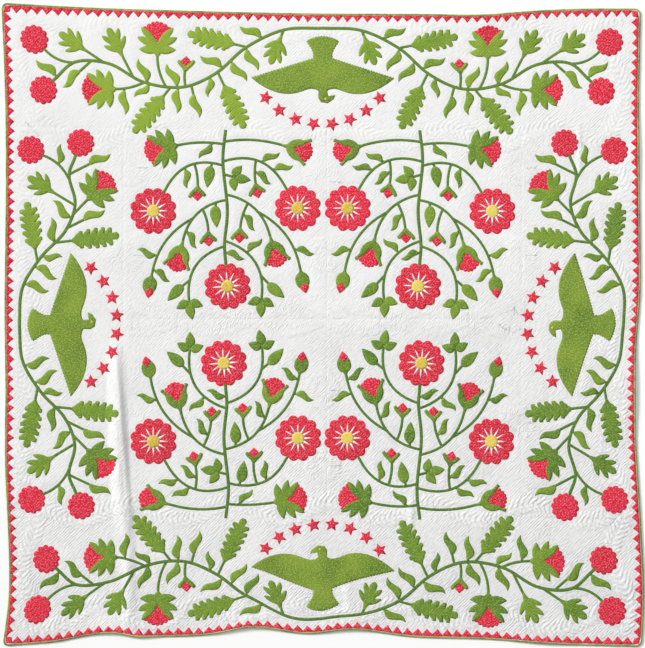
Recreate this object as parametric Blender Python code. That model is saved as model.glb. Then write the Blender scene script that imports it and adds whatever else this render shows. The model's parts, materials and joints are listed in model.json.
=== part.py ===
"""An applique bed quilt laid out flat.

A thin quilted sheet with a bound edge carries four rose trees, a border vine on every side,
a spread eagle at the middle of each border and a row of cloth teeth just inside the binding.
X runs across the quilt, Y up its length and Z away from the surface that it lies on.
"""

import math
from collections import namedtuple

import bmesh
import bpy
import numpy as np
from mathutils import Vector
from mathutils.bvhtree import BVHTree

# The nominal quilt is a rectangle. The edge tables say how far the real edge strays from it.
HALF_WIDTH = 1.134
HALF_HEIGHT = 1.120
CORNER_RADIUS = 0.022
SHEET_THICKNESS = 0.004
PATCH_THICKNESS = 0.0010
PIECE_GAP = 0.0003

# Weights of a triangle's corners: the points of a face where its distance from the sheet is probed.
FACE_PROBES = ((1, 1, 0), (0, 1, 1), (1, 0, 1), (1, 1, 1), (3, 1, 1), (1, 3, 1), (1, 1, 3))

# The binding is a folded strip along the edge, and the teeth are cut in a strip beside it.
BINDING_WIDTH = 0.007
BINDING_HEIGHT = 0.005
TEETH_A_SIDE = 62
TOOTH_BASE = 0.0076
TOOTH_VALLEY = 0.0110
TOOTH_TIP = 0.0330
CORNER_TOOTH_TIP = 0.0284
STRIP_GAP = 0.0012

# Borders and blocks: how far their middles lie from the quilt's middle.
BORDER_ACROSS = 0.915
BORDER_UP = 0.900
BLOCK_ACROSS = 0.347
BLOCK_UP = 0.352

STEM_WIDTH = 0.0115
STEM_STEP = 0.080
STEM_TO_FLOWER = 0.003
STALK_ROOM = 1.2
STALK_SLANT = 0.45
ROSE_RADIUS = 0.084
ROSE_PETALS = 12
FLOWER_RADIUS = 0.050
FLOWER_PETALS = 11
PETAL_VALLEY = 0.87

# Columns are closer under the long fold, and the cells beside the rim are the ones that ripple.
RIDGE_LINES_FROM = -0.86
RIDGE_LINES_TO = -0.64
RIDGE_LINES_A_CELL = 3
RIM_CELLS = 2

Edge = namedtuple("Edge", "along out")
Ridge = namedtuple("Ridge", "x_from y_from x_to y_to height half_width")
Ripple = namedtuple("Ripple", "side along height half_length")
Bend = namedtuple("Bend", "by_x by_y to_x to_y")
Sprig = namedtuple("Sprig", "name parent at end_x end_y bow tip")
Seat = namedtuple("Seat", "name x y turn mirror")
Share = namedtuple("Share", "along across")
Leaf = namedtuple("Leaf", "length width")

# The binding's section, in shares of its width from the outer edge and of its height.
BINDING_SECTION = (
    Share(1.00, 0.0),
    Share(0.15, 0.0),
    Share(0.00, 0.5),
    Share(0.30, 1.0),
    Share(1.00, 0.9),
)

# How far each edge lies outside the nominal rectangle, read along that edge.
TOP_EDGE = (
    Edge(-1.14, 0.032),
    Edge(-0.94, 0.020),
    Edge(-0.69, 0.009),
    Edge(-0.37, 0.000),
    Edge(-0.08, -0.006),
    Edge(0.38, -0.009),
    Edge(0.58, -0.011),
    Edge(0.74, 0.002),
    Edge(0.88, 0.009),
    Edge(1.14, 0.011),
)
BOTTOM_EDGE = (
    Edge(-1.14, 0.030),
    Edge(-0.97, 0.017),
    Edge(-0.72, -0.014),
    Edge(-0.67, -0.004),
    Edge(-0.58, -0.004),
    Edge(-0.40, -0.012),
    Edge(-0.26, -0.038),
    Edge(-0.05, -0.014),
    Edge(0.10, -0.030),
    Edge(0.30, -0.005),
    Edge(0.60, 0.006),
    Edge(0.82, 0.022),
    Edge(1.14, 0.032),
)
LEFT_EDGE = (
    Edge(-1.14, 0.014),
    Edge(-0.97, -0.009),
    Edge(-0.70, -0.008),
    Edge(-0.50, 0.002),
    Edge(-0.20, 0.001),
    Edge(0.02, 0.004),
    Edge(0.38, 0.000),
    Edge(0.80, 0.002),
    Edge(1.14, 0.016),
)
RIGHT_EDGE = (
    Edge(-1.14, 0.006),
    Edge(-0.97, 0.015),
    Edge(-0.70, 0.004),
    Edge(-0.36, -0.015),
    Edge(-0.10, -0.014),
    Edge(0.12, 0.002),
    Edge(0.30, 0.002),
    Edge(0.76, -0.003),
    Edge(1.14, 0.004),
)

# The long soft fold left of the lower left block, and where the hem stands a little off the surface.
RIDGES = (Ridge(-0.742, -0.06, -0.716, -0.78, 0.012, 0.042),)
RIDGE_FADE = 0.6
RIPPLES = (
    Ripple("bottom", -0.71, 0.006, 0.17),
    Ripple("bottom", -0.26, 0.008, 0.19),
    Ripple("bottom", 0.10, 0.006, 0.16),
    Ripple("bottom", 0.78, 0.004, 0.16),
    Ripple("top", 0.58, 0.005, 0.18),
    Ripple("top", -0.55, 0.003, 0.18),
    Ripple("right", -0.23, 0.006, 0.22),
    Ripple("right", 0.62, 0.003, 0.18),
    Ripple("left", -0.62, 0.005, 0.18),
    Ripple("left", 0.30, 0.003, 0.18),
)
RIPPLE_REACH = 0.104

# A rose tree, from its root at the block's edge. Sprigs start part way along their parent.
TREE_STEM = ((0.000, -0.345), (0.010, -0.230), (-0.006, -0.060), (0.004, 0.060), (0.000, 0.128))
TREE = (
    Sprig("low left", "stem", 0.09, -0.205, -0.290, 0.12, "tulip"),
    Sprig("low right", "stem", 0.11, 0.175, -0.288, -0.10, "carnation"),
    Sprig("left", "stem", 0.24, -0.214, -0.140, 0.42, "rose"),
    Sprig("right", "stem", 0.27, 0.216, -0.130, -0.42, "rose"),
    Sprig("upper left", "stem", 0.49, -0.160, 0.040, 0.32, "tulip"),
    Sprig("upper right", "stem", 0.53, 0.154, 0.056, -0.34, "tulip"),
    Sprig("arch left", "stem", 0.84, -0.128, 0.262, 0.42, "trefoil"),
    Sprig("arch right", "stem", 0.88, 0.130, 0.270, -0.42, "trefoil"),
    Sprig("corner left", "upper left", 0.56, -0.268, 0.160, 0.25, "closed bud"),
    Sprig("corner right", "upper right", 0.60, 0.264, 0.176, -0.25, "closed bud"),
    Sprig("bud left", "left", 0.45, -0.108, -0.150, -0.10, "bud"),
    Sprig("bud right", "right", 0.42, 0.100, -0.140, 0.10, "bud"),
    Sprig("inner bud left", "upper left", 0.36, -0.052, 0.010, -0.12, "bud"),
    Sprig("inner bud right", "upper right", 0.40, 0.062, 0.022, 0.12, "bud"),
    Sprig("leaf 1", "arch left", 0.68, -0.152, 0.204, 0.0, "leaf"),
    Sprig("leaf 2", "arch right", 0.70, 0.152, 0.212, 0.0, "leaf"),
)

# Half a long border vine, from the eagle out to the corner. Y runs towards the quilt's middle.
LONG_STEM = (
    (0.004, -0.166),
    (0.140, -0.158),
    (0.275, -0.092),
    (0.380, 0.000),
    (0.500, 0.052),
    (0.640, 0.036),
    (0.760, -0.026),
    (0.880, -0.030),
    (0.958, 0.034),
)
LONG_VINE = (
    Sprig("oak 1", "stem", 0.27, 0.318, -0.104, 0.0, "oak leaf"),
    Sprig("oak 2", "stem", 0.40, 0.352, 0.046, 0.0, "oak leaf"),
    Sprig("bud 1", "stem", 0.52, 0.492, -0.008, 0.08, "bud"),
    Sprig("leaf 1", "stem", 0.50, 0.462, 0.078, 0.0, "s leaf"),
    Sprig("oak 3", "stem", 0.57, 0.570, 0.086, 0.0, "oak leaf"),
    Sprig("carnation 1", "stem", 0.585, 0.590, -0.060, 0.15, "carnation"),
    Sprig("lobed 1", "stem", 0.70, 0.712, -0.050, 0.0, "lobed leaf"),
    Sprig("carnation 2", "stem", 0.66, 0.742, 0.062, 0.12, "carnation"),
    Sprig("lobed 2", "stem", 0.81, 0.840, -0.068, 0.0, "lobed leaf"),
    Sprig("leaf 2", "stem", 0.85, 0.866, 0.002, 0.0, "s leaf"),
    Sprig("flower", "stem", 0.91, 0.985, -0.066, 0.22, "round flower"),
)

# Half a short border vine, for the two sides.
SHORT_STEM = (
    (0.004, -0.166),
    (0.130, -0.156),
    (0.240, -0.092),
    (0.330, -0.008),
    (0.430, 0.030),
    (0.530, 0.008),
    (0.598, 0.030),
)
SHORT_VINE = (
    Sprig("oak 1", "stem", 0.36, 0.272, -0.112, 0.0, "oak leaf"),
    Sprig("oak 2", "stem", 0.50, 0.300, 0.020, 0.0, "oak leaf"),
    Sprig("carnation", "stem", 0.68, 0.448, 0.076, 0.0, "carnation"),
    Sprig("lobed", "stem", 0.73, 0.468, -0.042, 0.0, "lobed leaf"),
    Sprig("leaf 1", "stem", 0.60, 0.374, 0.060, 0.0, "s leaf"),
    Sprig("leaf 2", "stem", 0.90, 0.572, 0.080, 0.0, "s leaf"),
    Sprig("flower", "stem", 0.86, 0.600, -0.080, 0.22, "round flower"),
)

LONG_SEATS = (
    Seat("top_right", 0.0, BORDER_UP, math.pi, True),
    Seat("top_left", 0.0, BORDER_UP, math.pi, False),
    Seat("bottom_right", 0.0, -BORDER_UP, 0.0, False),
    Seat("bottom_left", 0.0, -BORDER_UP, 0.0, True),
)
SHORT_SEATS = (
    Seat("right_upper", BORDER_ACROSS, 0.0, math.pi / 2, False),
    Seat("right_lower", BORDER_ACROSS, 0.0, math.pi / 2, True),
    Seat("left_upper", -BORDER_ACROSS, 0.0, -math.pi / 2, True),
    Seat("left_lower", -BORDER_ACROSS, 0.0, -math.pi / 2, False),
)
TREE_SEATS = (
    Seat("upper_left", -BLOCK_ACROSS, BLOCK_UP, math.pi, False),
    Seat("upper_right", BLOCK_ACROSS, BLOCK_UP, math.pi, True),
    Seat("lower_left", -BLOCK_ACROSS, -BLOCK_UP, 0.0, False),
    Seat("lower_right", BLOCK_ACROSS, -BLOCK_UP, 0.0, True),
)
EAGLE_SEATS = (
    Seat("top", 0.0, BORDER_UP, math.pi, False),
    Seat("bottom", 0.0, -BORDER_UP, 0.0, False),
    Seat("right", BORDER_ACROSS, 0.0, math.pi / 2, False),
    Seat("left", -BORDER_ACROSS, 0.0, -math.pi / 2, False),
)

# A plain leaf's edge is in shares of its length and width. A lobed one has lobes along most of it.
LEAF = Leaf(0.080, 0.036)
S_LEAF = Leaf(0.088, 0.028)
S_LEAF_CURL = 0.09
LEAF_EDGE = (Share(0.28, 0.46), Share(0.64, 0.40))
OAK_LEAF = Leaf(0.166, 0.072)
OAK_LOBES = 3
LOBED_LEAF = Leaf(0.112, 0.080)
LOBED_LOBES = 2
LOBES_FROM = 0.08
LOBES_TO = 0.84
LOBE_LEAN = 0.35
LOBE_NOTCH = 0.36
LOBE_SWELL = (0.22, 0.84)

# Half outlines of what else a stem ends in, cup and petals as one, from the stalk round to the tip.
TULIP = ((0.000, 0.004), (0.034, 0.031), (0.090, 0.050), (0.094, 0.034), (0.114, 0.000))
CARNATION = (
    (0.000, 0.004),
    (0.020, 0.066),
    (0.035, 0.037),
    (0.064, 0.071),
    (0.066, 0.042),
    (0.098, 0.057),
    (0.124, 0.000),
)
BUD = ((0.000, 0.004), (0.026, 0.031), (0.034, 0.018), (0.051, 0.000))
CLOSED_BUD = ((0.000, 0.004), (0.030, 0.026), (0.062, 0.018), (0.082, 0.000))
TREFOIL = ((0.004, 0.006), (0.001, 0.023), (0.018, 0.051), (0.022, 0.017), (0.036, 0.018), (0.067, 0.000))

# Half an eagle seen from the front, from the side of its neck to the root of its tail.
EAGLE_STEPS = 4
EAGLE_WING = (Bend(0.036, 0.046, 0.070, 0.062), Bend(0.160, 0.098, 0.256, 0.016))
EAGLE_WING_BACK = (Bend(0.150, -0.018, 0.034, -0.056),)
EAGLE_TAIL_ROOT = (0.034, -0.060)
EAGLE_TAIL = (Bend(0.026, -0.078, 0.058, -0.118), Bend(0.034, -0.134, 0.000, -0.136))
EAGLE_HEAD = (
    (-0.016, 0.062),
    (-0.020, 0.080),
    (-0.046, 0.076),
    (-0.038, 0.092),
    (-0.018, 0.106),
    (0.006, 0.102),
    (0.016, 0.086),
    (0.015, 0.062),
)

COLOURS = {
    "ground": (0.84, 0.84, 0.82),
    "red": (0.72, 0.035, 0.065),
    "green": (0.115, 0.245, 0.030),
    "light_green": (0.250, 0.360, 0.040),
    "binding": (0.135, 0.250, 0.035),
}
CLOTH_ROUGHNESS = 0.9


def clear_scene():
    for thing in list(bpy.data.objects):
        bpy.data.objects.remove(thing, do_unlink=True)


def material(name):
    """A cotton cloth of one colour."""
    found = bpy.data.materials.get(name)
    if found:
        return found
    cloth = bpy.data.materials.new(name)
    cloth.use_nodes = True
    shader = cloth.node_tree.nodes["Principled BSDF"]
    shader.inputs["Base Color"].default_value = (*COLOURS[name], 1.0)
    shader.inputs["Roughness"].default_value = CLOTH_ROUGHNESS
    shader.inputs["Metallic"].default_value = 0.0
    return cloth


def add_object(name, mesh_builder, cloth):
    """Makes an object from a bmesh and gives it its cloth."""
    mesh = bpy.data.meshes.new(name)
    mesh_builder.to_mesh(mesh)
    mesh.materials.append(material(cloth))
    thing = bpy.data.objects.new(name, mesh)
    bpy.context.scene.collection.objects.link(thing)
    return thing


def along_table(table, at):
    """A smooth curve through an edge table's rows."""
    places = np.array([row.along for row in table])
    values = np.array([row.out for row in table])
    slopes = np.gradient(values, places)
    i = int(np.clip(np.searchsorted(places, at) - 1, 0, len(places) - 2))
    step = places[i + 1] - places[i]
    t = (at - places[i]) / step
    start = values[i] * (1 + 2 * t) * (1 - t) ** 2 + slopes[i] * step * t * (1 - t) ** 2
    end = values[i + 1] * t * t * (3 - 2 * t) + slopes[i + 1] * step * t * t * (t - 1)
    return start + end


def round_corner(x, y):
    """Turns the nominal rectangle's square corners into quarter circles, keeping depths from the edge."""
    a = abs(x) - (HALF_WIDTH - CORNER_RADIUS)
    b = abs(y) - (HALF_HEIGHT - CORNER_RADIUS)
    if a <= 0 or b <= 0:
        return x, y
    reach = max(a, b)
    angle = math.pi / 4 * b / a if a >= b else math.pi / 2 - math.pi / 4 * a / b
    new_x = HALF_WIDTH - CORNER_RADIUS + reach * math.cos(angle)
    new_y = HALF_HEIGHT - CORNER_RADIUS + reach * math.sin(angle)
    return math.copysign(new_x, x), math.copysign(new_y, y)


def lay(x, y):
    """Takes a point of the nominal quilt to where it lies on the surface."""
    right = max(0.0, x / HALF_WIDTH) ** 3
    left = max(0.0, -x / HALF_WIDTH) ** 3
    top = max(0.0, y / HALF_HEIGHT) ** 3
    bottom = max(0.0, -y / HALF_HEIGHT) ** 3
    flat_x, flat_y = round_corner(x, y)
    flat_x += right * along_table(RIGHT_EDGE, y) - left * along_table(LEFT_EDGE, y)
    flat_y += top * along_table(TOP_EDGE, x) - bottom * along_table(BOTTOM_EDGE, x)
    return flat_x - MIDDLE[0], flat_y - MIDDLE[1]


def ridge_lift(ridge, x, y):
    """Height of a long soft fold, fading at both ends."""
    run = Vector((ridge.x_to - ridge.x_from, ridge.y_to - ridge.y_from))
    offset = Vector((x - ridge.x_from, y - ridge.y_from))
    share = offset.dot(run) / run.length_squared
    across = abs(run.x * offset.y - run.y * offset.x) / run.length
    if not 0 < share < 1 or across > ridge.half_width:
        return 0.0
    profile = 0.5 + 0.5 * math.cos(math.pi * across / ridge.half_width)
    return ridge.height * profile * math.sin(math.pi * share) ** RIDGE_FADE


def ripple_lift(ripple, x, y):
    """Height of a place where the hem stands off the surface."""
    depths = {
        "top": HALF_HEIGHT - y,
        "bottom": HALF_HEIGHT + y,
        "right": HALF_WIDTH - x,
        "left": HALF_WIDTH + x,
    }
    depth = depths[ripple.side]
    along = x if ripple.side in ("top", "bottom") else y
    apart = abs(along - ripple.along)
    if depth > RIPPLE_REACH or apart > ripple.half_length:
        return 0.0
    profile = 0.5 + 0.5 * math.cos(math.pi * apart / ripple.half_length)
    return ripple.height * profile * (1 - depth / RIPPLE_REACH) ** 2


def lift(x, y):
    """How far the underside stands off the surface at a point of the nominal quilt."""
    return sum(ridge_lift(r, x, y) for r in RIDGES) + sum(ripple_lift(r, x, y) for r in RIPPLES)


def tooth_lines(half):
    """Places along an edge between its two end teeth, two teeth apart."""
    inner = half - TOOTH_TIP
    cells = TEETH_A_SIDE // 2
    return [-inner + 2 * inner * k / cells for k in range(cells + 1)]


def sheet_lines(half):
    edge = half - BINDING_WIDTH - PIECE_GAP
    return [-edge] + tooth_lines(half) + [edge]


def with_ridge_lines(lines):
    """Divides the columns under the long fold, so that it is round and not a tent."""
    finer = []
    for low, high in zip(lines, lines[1:]):
        parts = RIDGE_LINES_A_CELL if low > RIDGE_LINES_FROM and high < RIDGE_LINES_TO else 1
        finer += [low + (high - low) * k / parts for k in range(parts)]
    return finer + [lines[-1]]


def make_sheet():
    """The quilted sheet: its top and underside on one grid, joined by a rim.

    The flat middle of both faces is one fan round its centre.
    """
    columns = with_ridge_lines(sheet_lines(HALF_WIDTH))
    rows = sheet_lines(HALF_HEIGHT)
    left = next(i for i, x in enumerate(columns) if x > RIDGE_LINES_TO)
    right = len(columns) - 1 - RIM_CELLS
    low, high = RIM_CELLS, len(rows) - 1 - RIM_CELLS
    build = bmesh.new()
    faces = []
    for height in (0.0, SHEET_THICKNESS):
        face = {}
        for j, y in enumerate(rows):
            for i, x in enumerate(columns):
                if not (left < i < right and low < j < high):
                    face[i, j] = build.verts.new((*lay(x, y), lift(x, y) + height))
        faces.append(face)
        centre = build.verts.new((*lay((columns[left] + columns[right]) / 2, 0.0), height))
        loop = [(i, low) for i in range(left, right)] + [(right, j) for j in range(low, high)]
        loop += [(i, high) for i in range(right, left, -1)] + [(left, j) for j in range(high, low, -1)]
        for start, end in zip(loop, loop[1:] + loop[:1]):
            build.faces.new((face[start], face[end], centre))
        for j in range(len(rows) - 1):
            for i in range(len(columns) - 1):
                if left <= i < right and low <= j < high:
                    continue
                a, b, c, d = face[i, j], face[i + 1, j], face[i + 1, j + 1], face[i, j + 1]
                build.faces.new((a, b, c))
                build.faces.new((a, c, d))
    under, upper = faces
    rims = [
        [(i, 0) for i in range(len(columns))],
        [(i, len(rows) - 1) for i in range(len(columns))],
        [(0, j) for j in range(len(rows))],
        [(len(columns) - 1, j) for j in range(len(rows))],
    ]
    for rim in rims:
        for near, far in zip(rim, rim[1:]):
            build.faces.new((under[near], under[far], upper[far], upper[near]))
    bmesh.ops.recalc_face_normals(build, faces=build.faces)
    add_object("quilted_sheet", build, "ground")
    return build


def edge_point(side, along, depth):
    """A nominal point at a depth inside one of the four edges."""
    return {
        "top": (along, HALF_HEIGHT - depth),
        "bottom": (along, depth - HALF_HEIGHT),
        "right": (HALF_WIDTH - depth, along),
        "left": (depth - HALF_WIDTH, along),
    }[side]


def make_binding(side):
    """One side of the binding, a padded strip with a round outer edge and mitred ends."""
    half = HALF_WIDTH if side in ("top", "bottom") else HALF_HEIGHT
    section = [(row.along * BINDING_WIDTH, row.across * BINDING_HEIGHT) for row in BINDING_SECTION]
    lines = tooth_lines(half)
    build = bmesh.new()
    rings = []
    for k in range(-1, len(lines) + 1):
        ring = []
        for depth, height in section:
            end = half - depth - PIECE_GAP
            along = -end if k < 0 else end if k == len(lines) else lines[k]
            x, y = edge_point(side, along, depth)
            ring.append(build.verts.new((*lay(x, y), lift(x, y) + height)))
        rings.append(ring)
    count = len(section)
    for near, far in zip(rings, rings[1:]):
        for i in range(count):
            n = (i + 1) % count
            build.faces.new((near[i], near[n], far[n]))
            build.faces.new((near[i], far[n], far[i]))
    build.faces.new(rings[0])
    build.faces.new(rings[-1])
    bmesh.ops.recalc_face_normals(build, faces=build.faces)
    add_object("binding_" + side, build, "binding")


def make_patch(name, outline, cloth, surface):
    """A cloth patch cut to an outline of nominal points, seated on the sheet's top.

    It is raised as a whole until no probed point of its faces comes nearer than the gap.
    """
    build = bmesh.new()
    blank = build.faces.new([build.verts.new((*lay(x, y), 0.0)) for x, y in outline])
    blank.normal_update()
    bmesh.ops.triangulate(build, faces=[blank])
    grown = bmesh.ops.extrude_face_region(build, geom=build.faces[:])
    tops = [part for part in grown["geom"] if isinstance(part, bmesh.types.BMVert)]
    down = Vector((0, 0, -1))

    def sheet_top(x, y):
        hit = surface.ray_cast(Vector((x, y, 1.0)), down)[0]
        return (hit or surface.find_nearest(Vector((x, y, SHEET_THICKNESS)))[0]).z

    for corner in build.verts:
        corner.co.z = sheet_top(corner.co.x, corner.co.y) + PIECE_GAP
    need = 0.0
    for face in build.faces:
        a, b, c = (corner.co for corner in face.verts[:3])
        for of_a, of_b, of_c in FACE_PROBES:
            probe = (a * of_a + b * of_b + c * of_c) / (of_a + of_b + of_c)
            need = max(need, sheet_top(probe.x, probe.y) + PIECE_GAP - probe.z)
    for corner in build.verts:
        corner.co.z += need
    for corner in tops:
        corner.co.z += PATCH_THICKNESS
    bmesh.ops.recalc_face_normals(build, faces=build.faces)
    add_object(name, build, cloth)
    build.free()


def teeth_outline(side):
    """A strip of cloth teeth that point inwards, with a corner tooth at each end of the longer two."""
    long_side = side in ("top", "bottom")
    half = HALF_WIDTH if long_side else HALF_HEIGHT
    lines = tooth_lines(half)
    pitch = (lines[1] - lines[0]) / 2
    inner = lines[-1]
    base, teeth = [], []
    if long_side:
        corner = half - TOOTH_BASE
        base.append((-corner, TOOTH_BASE))
        teeth += [(-corner, TOOTH_TIP - STRIP_GAP), (CORNER_TOOTH_TIP - half, CORNER_TOOTH_TIP)]
    else:
        inner -= STRIP_GAP
        lines = [-inner] + lines[1:-1] + [inner]
    base += [(along, TOOTH_BASE) for along in lines]
    for k in range(TEETH_A_SIDE):
        start = -half + TOOTH_TIP + k * pitch
        teeth.append((max(start, -inner), TOOTH_VALLEY))
        teeth.append((start + pitch / 2, TOOTH_TIP))
    teeth.append((inner, TOOTH_VALLEY))
    if long_side:
        teeth += [(half - CORNER_TOOTH_TIP, CORNER_TOOTH_TIP), (corner, TOOTH_TIP - STRIP_GAP)]
        base.append((corner, TOOTH_BASE))
    return [edge_point(side, along, depth) for along, depth in base + teeth[::-1]]


def bent_path(start, bends, steps):
    """Points from a start through quadratic bends."""
    points = [start]
    for bend in bends:
        x0, y0 = points[-1]
        for k in range(1, steps + 1):
            t = k / steps
            a, b, c = (1 - t) ** 2, 2 * t * (1 - t), t * t
            points.append((a * x0 + b * bend.by_x + c * bend.to_x, a * y0 + b * bend.by_y + c * bend.to_y))
    return points


def both_sides(half):
    """A half outline from the stalk to the tip, and back along its mirror image."""
    back = [(x, -y) for x, y in reversed(half)]
    return half + (back[1:] if half[-1][1] == 0 else back)


def turned(points, angle):
    c, s = math.cos(angle), math.sin(angle)
    return [(c * x - s * y, s * x + c * y) for x, y in points]


def placed(points, seat):
    """Takes points of a border's or block's own frame to the nominal quilt."""
    sign = -1 if seat.mirror else 1
    return [(x + seat.x, y + seat.y) for x, y in turned([(sign * x, y) for x, y in points], seat.turn)]


def scalloped(radius, petals):
    """A round flower with petals along its edge."""
    points = []
    for k in range(petals * 2):
        angle = math.pi * k / petals
        r = radius if k % 2 else radius * PETAL_VALLEY
        points.append((r * math.cos(angle), r * math.sin(angle)))
    return points


def leaf_outline(leaf, curl=0.0):
    """A pointed leaf, from the left of its stalk round to the right."""
    middle = [(row.along * leaf.length, row.across * leaf.width) for row in LEAF_EDGE]
    edge = both_sides([(0.0, STEM_WIDTH / 3)] + middle + [(leaf.length, 0.0)])
    return [(x, y - curl * leaf.length * math.sin(2 * math.pi * x / leaf.length)) for x, y in edge]


def between(limits, share):
    low, high = limits
    return low + (high - low) * share


def lobed_outline(leaf, lobes):
    """A leaf with forward lobes on both sides, the widest ones half way along."""
    half = [(0.0, STEM_WIDTH / 3)]
    stretch = (LOBES_FROM * leaf.length, LOBES_TO * leaf.length)
    for k in range(lobes):
        reach = leaf.width / 2 * math.sin(math.pi * between(LOBE_SWELL, (k + 0.5) / lobes))
        half.append((between(stretch, k / lobes), LOBE_NOTCH * reach))
        half.append((between(stretch, (k + 0.5) / lobes) + LOBE_LEAN * reach, reach))
    half += [(stretch[1], LOBE_NOTCH * LOBE_NOTCH * leaf.width), (leaf.length, 0.0)]
    return both_sides(half)


def eagle_outline():
    """A spread eagle seen from the front, its head turned to one side."""
    wing = bent_path(EAGLE_HEAD[-1], EAGLE_WING, EAGLE_STEPS)
    wing += bent_path(wing[-1], EAGLE_WING_BACK, EAGLE_STEPS)[1:-1]
    half = wing + bent_path(EAGLE_TAIL_ROOT, EAGLE_TAIL, EAGLE_STEPS)
    left = [(-x, y) for x, y in reversed(half)]
    return list(EAGLE_HEAD[:-1]) + half + left[1:-1]


TIP_OUTLINES = {
    "leaf": leaf_outline(LEAF),
    "s leaf": leaf_outline(S_LEAF, S_LEAF_CURL),
    "oak leaf": lobed_outline(OAK_LEAF, OAK_LOBES),
    "lobed leaf": lobed_outline(LOBED_LEAF, LOBED_LOBES),
    "tulip": both_sides(list(TULIP)),
    "carnation": both_sides(list(CARNATION)),
    "bud": both_sides(list(BUD)),
    "closed bud": both_sides(list(CLOSED_BUD)),
    "trefoil": both_sides(list(TREFOIL)),
}


def smooth_line(points, steps):
    """A curve through a stem's way points."""
    ends = [2 * Vector(points[0]) - Vector(points[1]), 2 * Vector(points[-1]) - Vector(points[-2])]
    knots = [ends[0]] + [Vector(p) for p in points] + [ends[1]]
    line = []
    for a, b, c, d in zip(knots, knots[1:], knots[2:], knots[3:]):
        for k in range(steps):
            t = k / steps
            line.append(0.5 * (2 * b + (c - a) * t + (2 * a - 5 * b + 4 * c - d) * t * t
                               + (3 * b - a - 3 * c + d) * t ** 3))
    return line + [knots[-2]]


class Stem:
    """A stem's middle line, read by its share of the whole length."""

    def __init__(self, line):
        self.line = [Vector(p) for p in line]
        steps = [(b - a).length for a, b in zip(self.line, self.line[1:])]
        self.places = np.concatenate(([0.0], np.cumsum(steps)))
        self.length = float(self.places[-1])

    def point(self, place):
        xs = np.interp(place, self.places, [p.x for p in self.line])
        ys = np.interp(place, self.places, [p.y for p in self.line])
        return Vector((float(xs), float(ys)))

    def heading(self, place):
        near = 0.02 * self.length
        start = max(0.0, min(place, self.length) - near)
        return (self.point(min(self.length, place + near)) - self.point(start)).normalized()


def sprig_line(parent, sprig):
    """A bent line from part way along its parent to the sprig's end."""
    start = parent.point(sprig.at * parent.length)
    end = Vector((sprig.end_x, sprig.end_y))
    chord = end - start
    by = (start + end) / 2 + sprig.bow * Vector((-chord.y, chord.x))
    return bent_path(tuple(start), (Bend(by.x, by.y, end.x, end.y),), 12)


def grow(way_points, sprigs):
    """Every stem of a plant by name, and the sprigs that leave each of them."""
    stems = {"stem": Stem(smooth_line(way_points, 8))}
    children = {"stem": []}
    for sprig in sprigs:
        stems[sprig.name] = Stem(sprig_line(stems[sprig.parent], sprig))
        children[sprig.name] = []
        children[sprig.parent].append(sprig)
    return stems, children


def walk(name, stems, children, tips, trim=0.0):
    """The outline of a stem with all that grows from it, up its left side and down its right."""
    stem = stems[name]
    half = STEM_WIDTH / 2
    sides = {1: [], -1: []}
    taken = {1: [], -1: []}
    for sprig in children[name]:
        child = stems[sprig.name]
        place = sprig.at * stem.length
        ahead, away = stem.heading(place), child.heading(0.0)
        side = 1 if ahead.x * away.y - ahead.y * away.x > 0 else -1
        slant = min(max(STALK_SLANT, ahead.angle(away)), math.pi - STALK_SLANT)
        room = STALK_ROOM * half * (1 + abs(math.cos(slant))) / math.sin(slant)
        low = place + room * math.cos(slant) - half * STALK_ROOM
        high = place + room * math.cos(slant) + half * STALK_ROOM
        taken[side].append((low, high))
        sides[side].append((place, walk(sprig.name, stems, children, tips, room)))
    steps = max(1, round((stem.length - trim) / STEM_STEP))
    for k in range(steps + 1):
        place = trim + (stem.length - trim) * k / steps
        ahead = stem.heading(place)
        left = Vector((-ahead.y, ahead.x)) * half
        for side in (1, -1):
            if not any(low < place < high for low, high in taken[side]):
                sides[side].append((place, [tuple(stem.point(place) + side * left)]))
    outline = [p for place, points in sorted(sides[1], key=lambda row: row[0]) for p in points]
    if tips[name] in TIP_OUTLINES:
        ahead = stem.heading(stem.length)
        end = stem.point(stem.length)
        blade = turned(TIP_OUTLINES[tips[name]], math.atan2(ahead.y, ahead.x))
        outline += [(x + end.x, y + end.y) for x, y in blade]
    for place, points in sorted(sides[-1], key=lambda row: -row[0]):
        outline += points
    return outline


def flower_middle(stem, radius):
    """The middle of a round flower at the end of a stem."""
    return stem.point(stem.length) + stem.heading(stem.length) * (radius + STEM_TO_FLOWER)


def around(middle, points):
    return [(x + middle.x, y + middle.y) for x, y in points]


def make_plant(name, seat, way_points, sprigs, stem_tip, surface):
    """A plant's stems and leaves as one patch, and its round flowers as one patch each."""
    stems, children = grow(way_points, sprigs)
    tips = {"stem": stem_tip} | {sprig.name: sprig.tip for sprig in sprigs}
    outline = walk("stem", stems, children, tips)
    make_patch(f"{name}_{seat.name}", placed(outline, seat), "green", surface)
    blooms = {
        "rose": (ROSE_RADIUS, scalloped(ROSE_RADIUS, ROSE_PETALS)),
        "round flower": (FLOWER_RADIUS, scalloped(FLOWER_RADIUS, FLOWER_PETALS)),
    }
    number = 0
    for stem_name, tip in tips.items():
        if tip not in blooms:
            continue
        number += 1
        radius, edge = blooms[tip]
        bloom = around(flower_middle(stems[stem_name], radius), edge)
        kind = tip.replace("round ", "")
        make_patch(f"{kind}_{seat.name}_{number}", placed(bloom, seat), "red", surface)


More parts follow.
